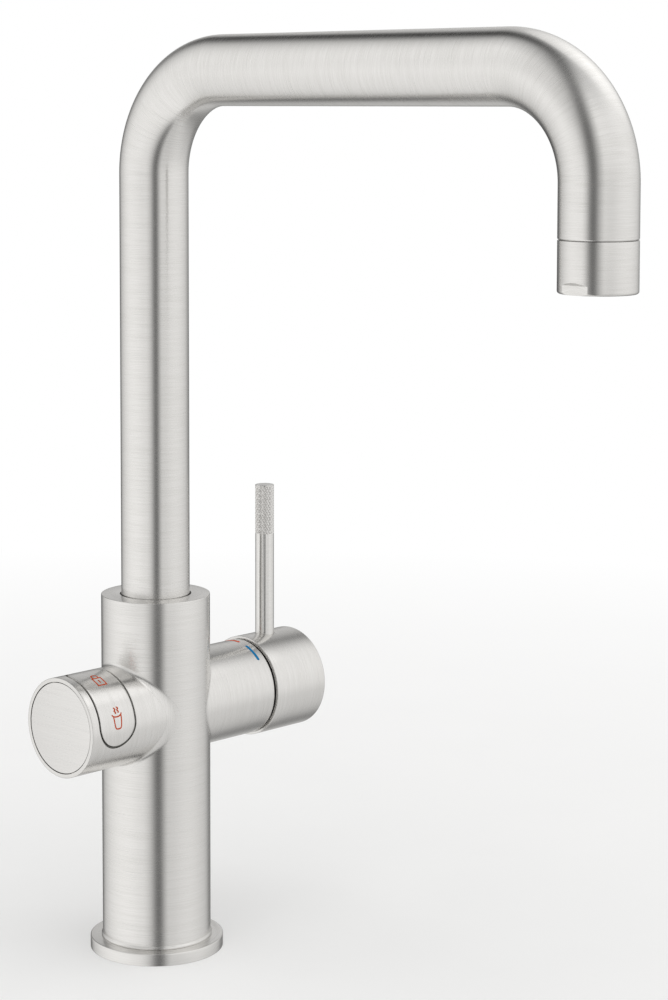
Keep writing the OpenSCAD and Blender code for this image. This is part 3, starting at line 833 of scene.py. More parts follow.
def curve_through(points: list[tuple[float, float]], steps: int, closed: bool) -> Array:
    """Draws a smooth line through points with Catmull-Rom segments.

    Args:
        points: The points passed through.
        steps: Points on each segment.
        closed: Whether the line returns to its start.

    Returns:
        Points of the line.
    """
    pts = np.array(points, float)
    ring = np.concatenate([pts[-1:], pts, pts[:2]]) if closed else np.concatenate([pts[:1], pts, pts[-1:]])
    t = np.linspace(0.0, 1.0, steps, endpoint=False)[:, None]
    a, b, c, d = ring[:-3, None], ring[1:-2, None], ring[2:-1, None], ring[3:, None]
    segment = 0.5 * (2 * b + (c - a) * t + (2 * a - 5 * b + 4 * c - d) * t**2 + (3 * b - a - 3 * c + d) * t**3)
    return np.concatenate([segment.reshape(-1, 2), pts[:1] if closed else pts[-1:]])


@dataclass
class MixerHousing:
    """The fixed housing on the lever side, with its temperature marks."""

    steel: Paint
    red: Paint
    blue: Paint
    radius: float = 19.95
    end: float = 49.2
    bore: float = 14.2
    nut_bore: float = 17.2
    mouth: float = 18.5
    shoulder: float = 30.0
    mouth_x: float = 43.5
    mark_x: float = 45.4
    mark_w: float = 1.35
    red_span: tuple[float, float] = (-16.5, 6.0)
    blue_span: tuple[float, float] = (20.2, 44.2)

    def housing(self) -> Piece:
        """Builds the housing from the column's face out to the lever's gap.

        Returns:
            The new object.
        """
        angles = whole_turn(360)
        r, end, nut, bore = self.radius, self.end, self.nut_bore, self.bore
        profile = rounded(
            [(0.0, r), (end, r, 0.35), (end, self.mouth, 0.2), (self.mouth_x, self.mouth), (self.mouth_x, nut),
             (self.shoulder, nut), (self.shoulder, bore), (0.0, bore)],
        )
        close = [(0.0, bore + (r - bore) * share) for share in np.linspace(0.0, 1.0, 9)[1:]]
        rows = np.repeat(np.concatenate([profile, close])[:, None], len(angles), 1)
        on_column = [0, *range(len(profile) - 1, len(rows))]
        rows[on_column, :, 0] = seat_x(rows[on_column, :, 1], angles, 1.0)
        rows[-1] = rows[0]
        return Skin([turned(Axis.CROSS, rows, angles)]).mesh("mixer_housing_tube")

    def mark(self, name: str, span: tuple[float, float]) -> Piece:
        """Builds one temperature mark as a rounded bar of ink round the housing.

        Args:
            name: The piece's name.
            span: Its first and last angle, in degrees.

        Returns:
            The new object.
        """
        arc = np.radians(np.linspace(*span, 40)) * self.radius
        path = np.stack([np.full_like(arc, self.mark_x), arc], 1)
        return Skin([stroke(path, self.mark_w, self.radius)]).mesh(name)

    def build(self) -> list[Piece]:
        """Builds the housing and both marks.

        Returns:
            The pieces.
        """
        return [
            finish(self.housing(), self.steel, "root", "mixer_housing"),
            finish(self.mark("hot_mark", self.red_span), self.red, "root"),
            finish(self.mark("cold_mark", self.blue_span), self.blue, "root"),
        ]


# The lines of the signs, in mm along the cross axis and degrees round it
CUP = (
    ((-40.5, 70.9), (-39.9, 72.6), (-38.9, 73.4), (-37.9, 73.5), (-36.9, 73.0), (-36.0, 71.6), (-35.7, 70.2)),
    ((-39.9, 72.9), (-39.8, 77.0), (-39.7, 81.0), (-39.5, 84.6), (-39.1, 86.6), (-38.3, 87.3), (-37.2, 87.1),
     (-36.6, 85.9), (-36.3, 82.0), (-36.1, 77.0), (-36.0, 71.8)),
    ((-38.9, 63.2), (-38.3, 64.9), (-39.0, 66.7), (-38.4, 68.4), (-38.7, 69.6)),
    ((-37.4, 62.6), (-36.8, 64.3), (-37.5, 66.1), (-36.9, 67.8), (-37.2, 69.0)),
)
LOCK_BODY = ((-40.1, 19.6), (-40.1, 31.0), (-39.9, 31.6), (-36.1, 31.6), (-35.9, 31.0), (-35.9, 19.6), (-36.1, 19.0),
             (-39.9, 19.0))
LOCK_BOW = ((-39.3, 18.6), (-39.3, 15.0), (-38.9, 12.9), (-38.0, 12.1), (-37.1, 12.9), (-36.7, 15.0), (-36.7, 18.6))
LOCK_SLIT = ((-38.0, 23.0), (-38.0, 27.5))


@dataclass
class ButtonControl:
    """The housing on the button side, with its end disc, rocking plate and signs."""

    steel: Paint
    plate_steel: Paint
    disc_steel: Paint
    ink: Paint
    lip: Paint
    radius: float = 20.0
    end: float = -51.4
    bore: float = 16.3
    rim_bore: float = 18.4
    rim_depth: float = 2.5
    band_end: float = -27.4
    floor_x: float = -25.0
    disc_r: float = 18.1
    disc_inset: float = 0.15
    disc_edge: float = 1.4
    disc_gap: float = 0.05
    disc_slant: float = 0.6
    spigot_r: float = 16.2
    plate_x: float = -38.15
    plate_w: float = 17.7
    plate_h: float = 1.5
    plate_bevel: float = 0.07
    plate_clear: float = 0.06
    tilt: float = 45.0
    half_angle: float = 63.0
    gap: float = 0.75
    window_clear: float = 0.1
    window_bevel: float = 0.06
    window_margin: float = 0.055
    guide_r: float = 9.0
    foot_r: float = 1.5
    foot_low: float = 14.9
    foot_short: float = 1.2
    foot_offset: float = 8.5
    hinge_r: float = 17.6
    eye_r: float = 1.15
    eye_w: float = 3.0
    eye_offset: float = 5.5
    line_w: float = 0.56
    lip_depth: float = 0.7
    lip_inset: float = 0.15
    lip_overlap: float = 0.25
    lip_h: float = 0.5

    def window(self, grow: float, bevel: float) -> Window:
        """Makes the stadium of the button plate, grown all round.

        Args:
            grow: Added to its radius.
            bevel: Bevel of the opening's edge.

        Returns:
            The opening.
        """
        radius = self.plate_w / 2
        spine = math.radians(self.half_angle) - math.asin(radius / self.radius)
        return Window(self.plate_x, math.radians(self.tilt), radius + grow, spine, self.window_margin, bevel)

    def housing(self) -> Piece:
        """Builds the housing with its end recess, bore, floor and button window.

        Returns:
            The new object.
        """
        window = self.window(self.gap + self.window_clear, self.window_bevel)
        angles = shared_angles([window], self.bore, TURN / 300)
        r, bore, ledge = self.radius, self.bore, self.end + self.rim_depth
        band = (ledge + 0.2, self.band_end)
        rim = rounded(
            [(band[0], bore), (ledge, bore), (ledge, self.rim_bore), (self.end, self.rim_bore, 0.12),
             (self.end, r, 0.4), (band[0], r)],
        )
        close = np.zeros((15, len(angles), 2))
        close[0] = (band[1], r)
        close[1:, :, 1] = r * (1.0 - np.linspace(0.0, 1.0, 14)[:, None])
        close[1:, :, 0] = seat_x(close[1:, :, 1], angles, -1.0)
        floor = [(band[1], bore), (self.floor_x, bore), (self.floor_x, 0.0)]
        return Skin([
            *(turned(Axis.CROSS, profile, angles) for profile in (rim, close, floor)),
            *walled_band(Axis.CROSS, r, bore, band, angles, [window], 40, 7),
        ]).mesh("control_housing_tube")

    def disc(self) -> Piece:
        """Builds the end disc, brushed straight across, with its thin raised edge.

        Returns:
            The new object.
        """
        face, back = self.end + self.disc_inset, self.end + self.rim_depth - self.disc_gap
        profile = rounded(
            [(face, 0.0), (face, self.disc_r, 0.22), (face + self.disc_edge, self.disc_r),
             (face + self.disc_edge, self.spigot_r), (back, self.spigot_r), (back, 0.0)],
        )
        patch = turned(Axis.CROSS, profile, whole_turn(240))
        x, y, z = np.moveaxis(patch.points, -1, 0)
        patch.grain = np.stack([self.disc_slant * y, x, z], -1)
        patch.uv = np.stack([y, z], -1)
        return Skin([patch]).mesh("end_disc")

    def loop(self, window: Window) -> tuple[Array, Array]:
        """Walks once round a stadium opening.

        Args:
            window: The opening.

        Returns:
            Axial distances and angles of points that face its outline.
        """
        half, arc = window.half_spine, np.linspace(0.0, math.pi, 40)
        side = np.linspace(-1.0, 1.0, 50)[1:-1]
        angle = np.concatenate([half + np.sin(arc), half * side[::-1], -half - np.sin(arc), half * side, [half]])
        axial = np.concatenate([np.cos(arc), 0 * side - 1.0, -np.cos(arc), 0 * side + 1.0, [1.0]])
        return axial * self.guide_r + window.axial, angle + window.angle

    def rims(self, window: Window, edges: list[tuple[float, float]]) -> tuple[Array, Array, Array]:
        """Draws outlines of a stadium, one for each radius of the wall.

        Args:
            window: The opening.
            edges: Radius of the wall and growth of the outline, for each.

        Returns:
            Axial distances, radii and angles, each with a row for each outline.
        """
        loop = self.loop(window)
        lines = np.array([window.outline(*loop, self.guide_r, *edge) for edge in edges])
        return lines[:, 0], np.array(edges)[:, :1], lines[:, 1]

    def gap_seal(self) -> Piece:
        """Builds the soft lip that closes the gap round the plate, fixed to the housing.

        Its section is a flat box between two outlines of the same stadium, under the
        housing's surface.

        Returns:
            The new object.
        """
        top, near, far = self.radius - self.lip_depth, self.lip_inset, self.gap + self.lip_overlap
        foot = top - self.lip_h
        corners = [(top, far), (top, near), (foot, near), (foot, far), (top, far)]
        return Skin([dressed(Axis.CROSS, *self.rims(self.window(0.0, 0.0), corners))]).mesh("button_gap_seal")

    def plate(self) -> Piece:
        """Builds the rocking plate: a stadium of the housing's own curve, with its feet.

        From the spine to the outline a point goes in a straight line, in axial
        distance and angle; the edge is rounded and the underside is the same stadium
        at a smaller radius.

        Returns:
            The new object.
        """
        window = self.window(-self.plate_clear, 0.0)
        r, bevel, inner = self.radius, self.plate_bevel, self.radius - self.plate_h
        wall = self.rims(window, [(r, -bevel), (r - 0.3 * bevel, -0.3 * bevel), (r - bevel, 0.0), (inner, 0.0)])
        half = window.half_spine
        spine = np.clip(self.loop(window)[1], window.angle - half, window.angle + half)
        mix = np.linspace(0.0, 1.0, 12)[:, None]
        top, under = (
            (window.axial + (wall[0][row] - window.axial) * blend, radius, spine + (wall[2][row] - spine) * blend)
            for row, radius, blend in ((0, r, mix), (-1, inner, mix[::-1]))
        )
        faces = [dressed(Axis.CROSS, *face) for face in (top, wall, under)]
        return Skin([*faces, *self.feet(window, inner)]).mesh("rocker_plate")

    def feet(self, window: Window, inner: float) -> list[Patch]:
        """Builds the two feet over the switches and the two hinge eyes, as closed rods.

        Args:
            window: The plate's stadium.
            inner: Radius of the plate's underside.

        Returns:
            The rods' patches.
        """
        turn = whole_turn(32)[:, None]
        sin, cos = math.sin(window.angle), math.cos(window.angle)
        out, across, along = np.array([[0.0, -sin, cos], [0.0, cos, sin], [1.0, 0.0, 0.0]])
        centre = np.array([window.axial, 0.0, CROSS_Z])
        rods: list[Patch] = []
        for side in (-1.0, 1.0):
            switch = centre + across * side * self.foot_offset
            eye = centre + out * self.hinge_r + along * (side * self.eye_offset - self.eye_w / 2)
            for base, ahead, first, second, radius, start, end in (
                (switch, out, along, across, self.foot_r, self.foot_low, inner - self.foot_short),
                (eye, along, out, across, self.eye_r, 0.0, self.eye_w),
            ):
                rows = np.array([(start, 0.0), (start, radius), (end, radius), (end, 0.0)])[:, None]
                ring = np.cos(turn) * first + np.sin(turn) * second
                points = base + rows[..., :1] * ahead + rows[..., 1:] * ring
                rods.append(Patch(points, points[..., ::2], points))
        return rods

    def sign(self, name: str, lines: list[tuple[tuple[tuple[float, float], ...], int, bool]]) -> Piece:
        """Draws a sign as ink lines on the plate.

        Args:
            name: The piece's name.
            lines: Points in mm and degrees, steps between them and whether it closes.

        Returns:
            The new object.
        """
        arc = self.radius * math.radians(1.0)
        paths = [curve_through([(x, a * arc) for x, a in points], *rest) for points, *rest in lines]
        return Skin([stroke(path, self.line_w, self.radius) for path in paths]).mesh(name)

    def build(self) -> list[Piece]:
        """Builds the control's pieces.

        Returns:
            The pieces.
        """
        lock = [(LOCK_BODY, 6, True), (LOCK_BOW, 6, False), (LOCK_SLIT, 8, False)]
        return [
            finish(self.housing(), self.steel, "root", "control_housing"),
            finish(self.disc(), self.disc_steel, "root", "end_cap"),
            finish(self.plate(), self.plate_steel, "button", "button_plate"),
            finish(self.gap_seal(), self.lip, "root"),
            finish(self.sign("cup_sign", [(line, 6, False) for line in CUP]), self.ink, "button"),
            finish(self.sign("padlock_sign", lock), self.ink, "button"),
        ]


@dataclass
class LeverCap:
    """The turning cap of the lever, with its knurled pin."""

    steel: Paint
    pin_steel: Paint
    radius: float = 21.0
    start: float = 50.2
    end: float = 78.8
    rim_wall: float = 1.4
    wall: float = 3.0
    step_x: float = 58.2
    band: tuple[float, float] = (58.5, 74.0)
    pin_r: float = 4.0
    pin_top: float = 185.4
    knurl_foot: float = 164.3
    knurl_margin: float = 0.5
    knurl_depth: float = 0.22
    knurl_share: float = 0.38
    knurl_fade: float = 0.15
    knurl_count: int = 18
    knurl_pitch: float = 2.2
    crown_h: float = 0.15
    crown_w: float = 0.7
    stud_r: float = 2.5
    stud_foot: float = 108.75
    stud_top: float = 118.4
    grub_x: float = 67.14
    grub_hole: float = 2.6

    def cap(self) -> Piece:
        """Builds the cap with the pin's hole on top and the grub screw's underneath.

        Returns:
            The new object.
        """
        windows = [
            Window(Axis.LEVER.value[0], 0.0, self.pin_r + 0.05, bevel=0.18),
            Window(self.grub_x, math.pi, self.grub_hole, bevel=0.2),
        ]
        r, inner, rim = self.radius, self.radius - self.wall, self.radius - self.rim_wall
        angles = shared_angles(windows, inner, TURN / 300)
        (low, high), back = self.band, self.end - self.wall
        profiles = [
            rounded([(low, inner), (self.step_x, inner), (self.step_x, rim), (self.start, rim, 0.25),
                     (self.start, r, 0.35), (low, r)]),
            rounded([(high, r), (self.end, r, 0.8), (self.end, 0.0)], 9),
            [(back, 0.0), (back, inner), (high, inner)],
        ]
        return Skin([
            *(turned(Axis.CROSS, profile, angles) for profile in profiles),
            *walled_band(Axis.CROSS, r, inner, self.band, angles, windows, 30, 7),
        ]).mesh("lever_cap_shell")

    def pin(self) -> Piece:
        """Builds the pin with its stud and its diamond knurl.

        The knurl lowers the surface into V grooves along two opposed helices: by its
        depth at a groove's middle, and by nothing past the share of the way to the
        middle of a diamond.

        Returns:
            The new object.
        """
        angles, r, crown = whole_turn(self.knurl_count * 14), self.pin_r, self.pin_top
        foot, top = self.knurl_foot, self.pin_top - self.knurl_margin
        z = np.linspace(foot, top, 235)[:, None]
        turn, rise = angles[None] * self.knurl_count / TURN, (z - foot) / self.knurl_pitch
        left, right = (1.0 - np.abs((turn + way * rise) % 1.0 - 0.5) * 2.0 for way in (1, -1))
        groove = np.clip(1.0 - np.minimum(left, right) / self.knurl_share, 0.0, 1.0)
        fade = np.clip(np.minimum(z - foot, top - z) / self.knurl_fade, 0.0, 1.0)
        radius = r - self.knurl_depth * groove * fade
        profiles = [
            [(self.stud_foot, 0.0), (self.stud_foot, self.stud_r), (self.stud_top, self.stud_r), (self.stud_top, r),
             (foot, r)],
            np.stack(np.broadcast_arrays(z, radius), -1),
            rounded([(top, r), (crown - self.crown_h, r, 0.3), (crown, r - self.crown_w, 0.3), (crown, 0.0)]),
        ]
        return Skin([turned(Axis.LEVER, profile, angles) for profile in profiles]).mesh("lever_rod")

    def build(self) -> list[Piece]:
        """Builds the cap and the pin.

        Returns:
            The pieces.
        """
        return [
            finish(self.cap(), self.steel, "lever", "lever_cap"),
            finish(self.pin(), self.pin_steel, "lever", "lever_pin"),
        ]


@dataclass
class Spout:
    """The swivelling pipe and the outlet sleeve."""

    steel: Paint
    radius: float = 14.0
    wall: float = 1.5
    foot: float = 133.8
    edge: float = 0.3
    end_bevel: float = 0.2
    rows_up: tuple[float, float, float] = (150.0, 200.0, 260.0)
    below_bend: float = 6.0
    wall_step: float = 3.0
    level_z: float = 360.4
    reach: float = 225.0
    bend: float = 41.0
    outlet_bend: float = 40.0
    sleeve_top: float = 301.5
    sleeve_foot: float = 282.9
    groove: float = 0.3
    lip: float = 2.2
    shelf: float = 10.45
    flat: float = 13.0
    flat_h: float = 3.3
    ledge_top: float = 5.2
    ledge_least: float = 0.004
    bottom_edge: float = 1.0

    def path(self) -> tuple[Array, Array]:
        """Works out the middle line of the pipe.

        It goes straight up, round a quarter circle, level, round another and down.

        Returns:
            Points of the line, and the direction of its in-plane normal at each.
        """
        b, o, z = self.bend, self.outlet_bend, self.level_z
        t = np.linspace(0.0, math.pi / 2, 49)[1:]
        sin, cos, one, six = np.sin(t), np.cos(t), np.ones(3), np.ones(6)
        up = [self.foot, self.foot + self.edge, *self.rows_up, z - b]
        level = np.linspace(-b, o - self.reach, 7)[1:]
        down = [z - o - self.below_bend, self.sleeve_top + self.edge, self.sleeve_top]
        y = np.concatenate([0 * six, b * cos - b, level, o - self.reach - o * sin, -self.reach * one])
        height = np.concatenate([up, z - b + b * sin, z * six, z - o + o * cos, down])
        normal_y = np.concatenate([-six, -cos, 0 * six, sin, one])
        normal_z = np.concatenate([0 * six, -sin, -six, -cos, 0 * one])
        return np.stack([0 * y, y, height], 1), np.stack([0 * y, normal_y, normal_z], 1)

    def pipe(self) -> Piece:
        """Builds the pipe: each point is the middle line plus the radius round it.

        Returns:
            The new object.
        """
        line, normal = self.path()
        along = np.append(0.0, np.cumsum(np.linalg.norm(np.diff(line, axis=0), axis=1)))
        turn = whole_turn(240)
        ring = np.cos(turn)[:, None] * np.array([1.0, 0.0, 0.0]) + np.sin(turn)[:, None] * normal[:, None]
        radius = np.full((len(line), 1, 1), self.radius)
        radius[[0, -1]] -= self.end_bevel
        outer, inner = line[:, None] + radius * ring, (line[:, None] + (self.radius - self.wall) * ring)[::-1]
        points = np.concatenate([outer, inner, outer[:1]])
        distance = np.concatenate([along, along[::-1] + self.wall_step, along[:1] + 2 * self.wall_step])[:, None]
        return Skin([wrapped(points, turn, distance)]).mesh("spout_tube")

    def sleeve(self) -> Piece:
        """Builds the outlet sleeve with its two spanner flats.

        Between the foot and the flat's height the radius is the smaller of the
        turned one and that of the flat, flat distance over cosine of the angle.
        Over it, a ledge at 45 degrees leads back to the full radius.

        Returns:
            The new object.
        """
        r, flat, corner = self.radius, self.flat, self.bottom_edge
        edge = math.acos(flat / r)
        half = np.concatenate([np.linspace(0.0, edge, 24), np.linspace(edge, math.pi / 2, 40)[1:]])
        half = np.concatenate([half, math.pi - half[-2::-1]])
        angles = np.concatenate([half, half[1:-1] + math.pi, [TURN]])
        cosine = np.maximum(np.abs(np.cos(angles)), 1e-6)
        rim = np.radians(np.linspace(0.0, 90.0, 12))[:, None]
        height = np.concatenate([corner * (1 - np.cos(rim)), np.linspace(corner, self.flat_h, 8)[1:, None]])
        round_r = np.concatenate([r - corner + corner * np.sin(rim), np.full((7, 1), r)])
        low_r = np.minimum(round_r, flat / cosine)
        low_h = np.broadcast_to(height, low_r.shape)
        over = np.maximum(r * cosine - flat, self.ledge_least) * np.linspace(0.0, 1.0, 7)[1:, None]
        length, bore = self.sleeve_top - self.sleeve_foot, r - self.lip
        top, shelf = length - self.groove, length - self.shelf
        upper = rounded(
            [(self.ledge_top, r), (top, r, 0.2), (top, r - self.wall), (shelf, r - self.wall), (shelf, bore),
             (0.0, bore)],
        )[:, None] * np.ones((1, len(angles), 1))
        heights = np.concatenate([low_h, self.flat_h + over, upper[..., 0], low_h[:1]])
        radii = np.concatenate([low_r, np.minimum((flat + over) / cosine, r), upper[..., 1], low_r[:1]])
        patch = dressed(Axis.OUTLET, self.sleeve_foot + heights, radii, angles)
        return Skin([patch]).mesh("outlet_sleeve_shell", math.radians(25.0))

    def build(self) -> list[Piece]:
        """Builds the pipe and the sleeve.

        Returns:
            The pieces.
        """
        return [
            finish(self.pipe(), self.steel, "spout", "spout_pipe"),
            finish(self.sleeve(), self.steel, "spout", "outlet_sleeve"),
        ]


# The finish of each CAD node that stays
INSIDES = (
    (Machined("turned brass", (0.62, 0.44, 0.2), (0.74, 0.55, 0.28), 0.28),
     "shank_socket waterway_block cartridge_nut spout_spigot"),
    (Machined("nickel-plated brass", (0.3, 0.295, 0.285), (0.38, 0.37, 0.36), 0.35), "outlet_adapter"),
    (Machined("turned stainless steel", (0.5, 0.49, 0.47), (0.6, 0.59, 0.57), 0.3),
     "boiling_riser swivel_stop_screw button_pivot_pin lever_pivot_pin lever_stem lever_grub_screw boiling_tube"),
    (Machined("die-cast zinc", (0.36, 0.36, 0.35), (0.46, 0.46, 0.45), 0.45, (500.0, 500.0, 500.0), 0.00003),
     "lever_hub"),
    (Moulded("black moulded plastic", (0.018, 0.018, 0.02), (0.035, 0.035, 0.038), 0.5),
     "glide_ring control_carrier boiling_nozzle"),
    # The dome cover and the button's membrane are real moulded parts. Their pale grey is partly painted light, which
    # lifts the shade in the narrow gaps round the lever cap and the button plate.
    (Moulded("grey moulded plastic with painted light", (0.66, 0.65, 0.63), (0.74, 0.73, 0.71), 0.5), "dome_cover"),
    (Moulded("grey silicone with painted light", (0.7, 0.69, 0.67), (0.78, 0.77, 0.75), 0.6, 1800.0, 0.00003, 0.3), "button_membrane"),
    (Moulded("white acetal", (0.72, 0.70, 0.65), (0.82, 0.80, 0.76), 0.42),
     "thrust_washer cartridge_body cartridge_rotor disc_carrier cable_socket"),
    (Moulded("black seal rubber", (0.012, 0.012, 0.012), (0.028, 0.028, 0.028), 0.62, 1800.0, 0.00004, 0.3),
     "base_gasket riser_seal cartridge_seals end_cap_seal spigot_seals aerator_seal"),
    (Moulded("ground ceramic", (0.84, 0.84, 0.8), (0.92, 0.92, 0.89), 0.16, 4000.0, 0.000004, 0.6),
     "fixed_disc moving_disc"),
    (Moulded("switch plastic", (0.05, 0.05, 0.055), (0.08, 0.08, 0.085), 0.38), "tactile_switches"),
    (Moulded("grey outlet plastic", (0.42, 0.42, 0.42), (0.52, 0.52, 0.52), 0.4), "aerator_body aerator_screen"),
    (PrintedBoard("green lacquer over copper tracks", (0.01, 0.09, 0.035), (0.05, 0.22, 0.09)), "control_board"),
)


@dataclass
class Insides:
    """The CAD nodes that stay, each with its finish."""

    nodes: dict[str, Piece]

    def build(self) -> list[Piece]:
        """Puts each finish on its nodes.

        Returns:
            The nodes.
        """
        made: list[Piece] = []
        for look, names in INSIDES:
            material = look.build()
            for name in names.split():
                made.append(self.nodes[name])
                made[-1].data.materials.clear()
                made[-1].data.materials.append(material)
        return made


# Brightness of the studio round five heights of the sky. A height is the sine of the
# elevation; a stop is degrees to the right of the camera, seen from the tap, and
# brightness.
RINGS: tuple[tuple[float, tuple[tuple[float, float], ...]], ...] = (
    (-0.75, ((-180, 0.72), (-172, 0.66), (-165, 0.5), (-157, 0.24), (-150, 0.22), (-144, 0.4), (-136, 0.6),
             (-122, 0.84), (-75, 1.06), (-30, 0.97), (30, 0.68), (80, 0.77), (110, 0.67), (135, 0.46), (152, 0.3),
             (166, 0.42), (180, 0.72))),
    (-0.37, ((-180, 0.6), (-170, 0.4), (-160, 0.16), (-151, 0.26), (-143, 0.48), (-135, 0.64), (-118, 0.82),
             (-95, 0.98), (-65, 1.05), (-40, 0.98), (0, 0.77), (30, 0.71), (75, 0.82), (100, 0.74), (125, 0.63),
             (137, 0.5), (149, 0.26), (160, 0.24), (170, 0.4), (180, 0.6))),
    (-0.12, ((-180, 0.08), (-160, 0.1), (-151, 0.25), (-143, 0.48), (-135, 0.64), (-118, 0.83), (-95, 1.0),
             (-60, 1.08), (-35, 0.98), (0, 0.88), (28, 0.78), (55, 0.92), (85, 0.94), (107, 0.86), (126, 0.72),
             (135, 0.58), (144, 0.4), (160, 0.24), (180, 0.08))),
    (0.25, ((-180, 0.72), (-172, 0.6), (-162, 0.3), (-150, 0.3), (-135, 0.6), (-115, 0.85), (-92, 1.02),
            (-50, 0.75), (-15, 0.82), (10, 0.93), (60, 0.97), (90, 1.0), (120, 0.91), (140, 0.76), (155, 0.66),
            (168, 0.68), (180, 0.72))),
    (0.7, ((-180, 0.5), (-170, 0.36), (-163, 0.2), (-156, 0.14), (-150, 0.19), (-143, 0.34), (-135, 0.55),
           (-120, 0.79), (-105, 0.93), (-92, 1.04), (-50, 0.75), (0, 1.0), (45, 0.97), (90, 1.02), (108, 0.93),
           (124, 0.8), (137, 0.58), (147, 0.34), (155, 0.2), (163, 0.3), (172, 0.45), (180, 0.5))),
)


def seen_in_reflections(piece: Piece, material: Paint) -> None:
    """Dresses a stage piece that only reflections show.

    Args:
        piece: The piece.
        material: Its material.
    """
    piece.data.materials.append(material)
    piece.visible_camera = piece.visible_diffuse = piece.visible_shadow = False


@dataclass
class Studio:
    """Floor, light and camera."""

    focal_px: float = 2455.075
    centre_px: tuple[float, float] = (274.0, 300.0)
    image: tuple[int, int] = (668, 1000)
    sensor: float = 36.0
    heading: float = -44.9645
    distance: float = 993.652
    height: float = 348.423
    drop: float = 4.6376
    sideways: float = -48.5615
    flag_ahead: float = 419.0
    flag_reach: float = 200.0
    flag_foot: float = -900.0
    flag_bend: float = 260.0
    flag_top: float = 800.0
    flag_end: float = 760.0
    flag_shift: float = 87.0
    flag_drift: float = 0.4
    flag_veil: tuple[tuple[float, float], ...] = (
        (-200.0, 0.0), (-150.0, 0.06), (-100.0, 0.16), (-70.0, 0.27), (-40.0, 0.42), (-15.0, 0.58), (10.0, 0.72),
        (45.0, 0.8), (75.0, 0.77), (95.0, 0.68), (120.0, 0.48), (150.0, 0.28), (180.0, 0.1), (200.0, 0.0),
    )
    floor_z: float = -0.02
    card_at: Point = (212.0, -213.0, 568.0)
    card_along: Point = (-0.70, 0.0, 0.714)
    card_r: float = 190.0
    card_glow: float = 1.45
    power: float = 1.4
    overhead: float = 0.6

    def level_ways(self) -> tuple[Array, Array]:
        """Level directions ahead of the camera and to its right."""
        a = math.radians(self.heading)
        return np.array([-math.sin(a), math.cos(a), 0.0]), np.array([math.cos(a), math.sin(a), 0.0])

    def camera(self) -> None:
        """Sets the camera where the photograph was taken from.

        The camera stands at the distance behind the column along its heading and a
        little sideways. The photograph's lens is level and shifted far down; here the
        shift is smaller and the drop angle makes up for it, so that other views keep
        the whole tap in the picture.
        """
        t, (ahead, right) = math.radians(self.drop), self.level_ways()
        upright = np.array([0.0, 0.0, 1.0])
        look, up = ahead * math.cos(t) - upright * math.sin(t), ahead * math.sin(t) + upright * math.cos(t)
        at = -self.distance * ahead - self.sideways * right + self.height * upright
        lens = bpy.data.cameras.new("photo_camera")
        lens.sensor_width, lens.sensor_fit = self.sensor, "AUTO"
        lens.lens = self.focal_px * self.sensor / self.image[1]
        lens.shift_x = (self.image[0] / 2 - self.centre_px[0]) / self.image[1]
        lens.shift_y = (self.centre_px[1] - self.image[1] / 2) / self.image[1]
        lens.clip_start, lens.clip_end = 0.01, 20.0
        camera = bpy.data.objects.new("photo_camera", lens)
        turn = Matrix([Vector(way) for way in (right, up, -look)]).transposed().to_4x4()
        camera.matrix_world = Matrix.Translation(at * MM) @ turn
        bpy.context.scene.collection.objects.link(camera)
        bpy.context.scene.camera = camera

    def floor(self) -> None:
        """Lays a pale round floor that fades into the white surround."""
        turn = whole_turn(96)
        rings = np.array([0.0, 0.4, 1.0, 2.5, 6.0])[:, None] / MM
        points = np.stack(np.broadcast_arrays(rings * np.cos(turn), rings * np.sin(turn), self.floor_z), -1)
        floor = Skin([Patch(points, points[..., :2], points)]).mesh("pale_floor")
        n = Nodes(bpy.data.materials.new("pale floor"))
        coords = n.coords()
        mottle = n.colours(n.noise(coords, 12.0, 3.0), (0.9, 0.9, 0.895), (0.92, 0.92, 0.915))
        n.dress(Base_Color=mottle, Roughness=0.6, Specular_IOR_Level=0.2)
        far = n.add("VectorMath", "Value", operation="LENGTH", in0=coords)
        mix = n.add(
            "MixShader", Fac=n.spread(far, 0.25, 1.0, 0.10, 0.9),
            in1=n.tree.nodes["Principled BSDF"].outputs[0], in2=n.add("Emission", Strength=1.0),
        )
        n.fill(n.tree.nodes["Material Output"], Surface=mix)
        floor.data.materials.append(n.owner)
        floor.visible_glossy = False

    def flag(self) -> None:
        """Stands a dark gauze in front of the tap, which only reflections show.

        It makes the dark line down the middle of every upright round part. It is a
        long strip: up in front of the column, round a quarter circle, and back
        overhead, where it drifts sideways by a fixed share of its way. Its veil thins
        out towards both sides.
        """
        ahead, right = self.level_ways()
        side = np.linspace(-self.flag_reach, self.flag_reach, 3)[:, None, None]
        bend = np.linspace(0.0, math.pi / 2, 25)
        front, top, round_r = -self.flag_ahead, self.flag_top, self.flag_bend
        away = np.concatenate([[front], front + round_r * (1.0 - np.cos(bend)), [self.flag_end]])
        rise = np.concatenate([[self.flag_foot], top - round_r * (1.0 - np.sin(bend)), [top]])
        last = self.flag_shift - self.flag_drift * (self.flag_end - away[-2])
        drift = np.concatenate([[0.0], self.flag_shift * bend / bend[-1], [last]])
        up = np.array([0.0, 0.0, 1.0])
        points = away[None, :, None] * ahead + (side + drift[None, :, None]) * right + rise[None, :, None] * up
        grain = np.broadcast_to((side / self.flag_reach + 1.0) / 2.0 / MM, points.shape)
        n = Nodes(bpy.data.materials.new("black gauze"))
        veil = [((at / self.flag_reach + 1.0) / 2.0, (value,) * 3) for at, value in self.flag_veil]
        gauze = n.dress(
            Alpha=n.ramp(n.first_grain(), veil), Base_Color=(0.004, 0.004, 0.004, 1.0), Roughness=0.95,
            Specular_IOR_Level=0.0,
        )
        seen_in_reflections(Skin([Patch(points, points[..., :2], grain)]).mesh("black_gauze"), gauze)

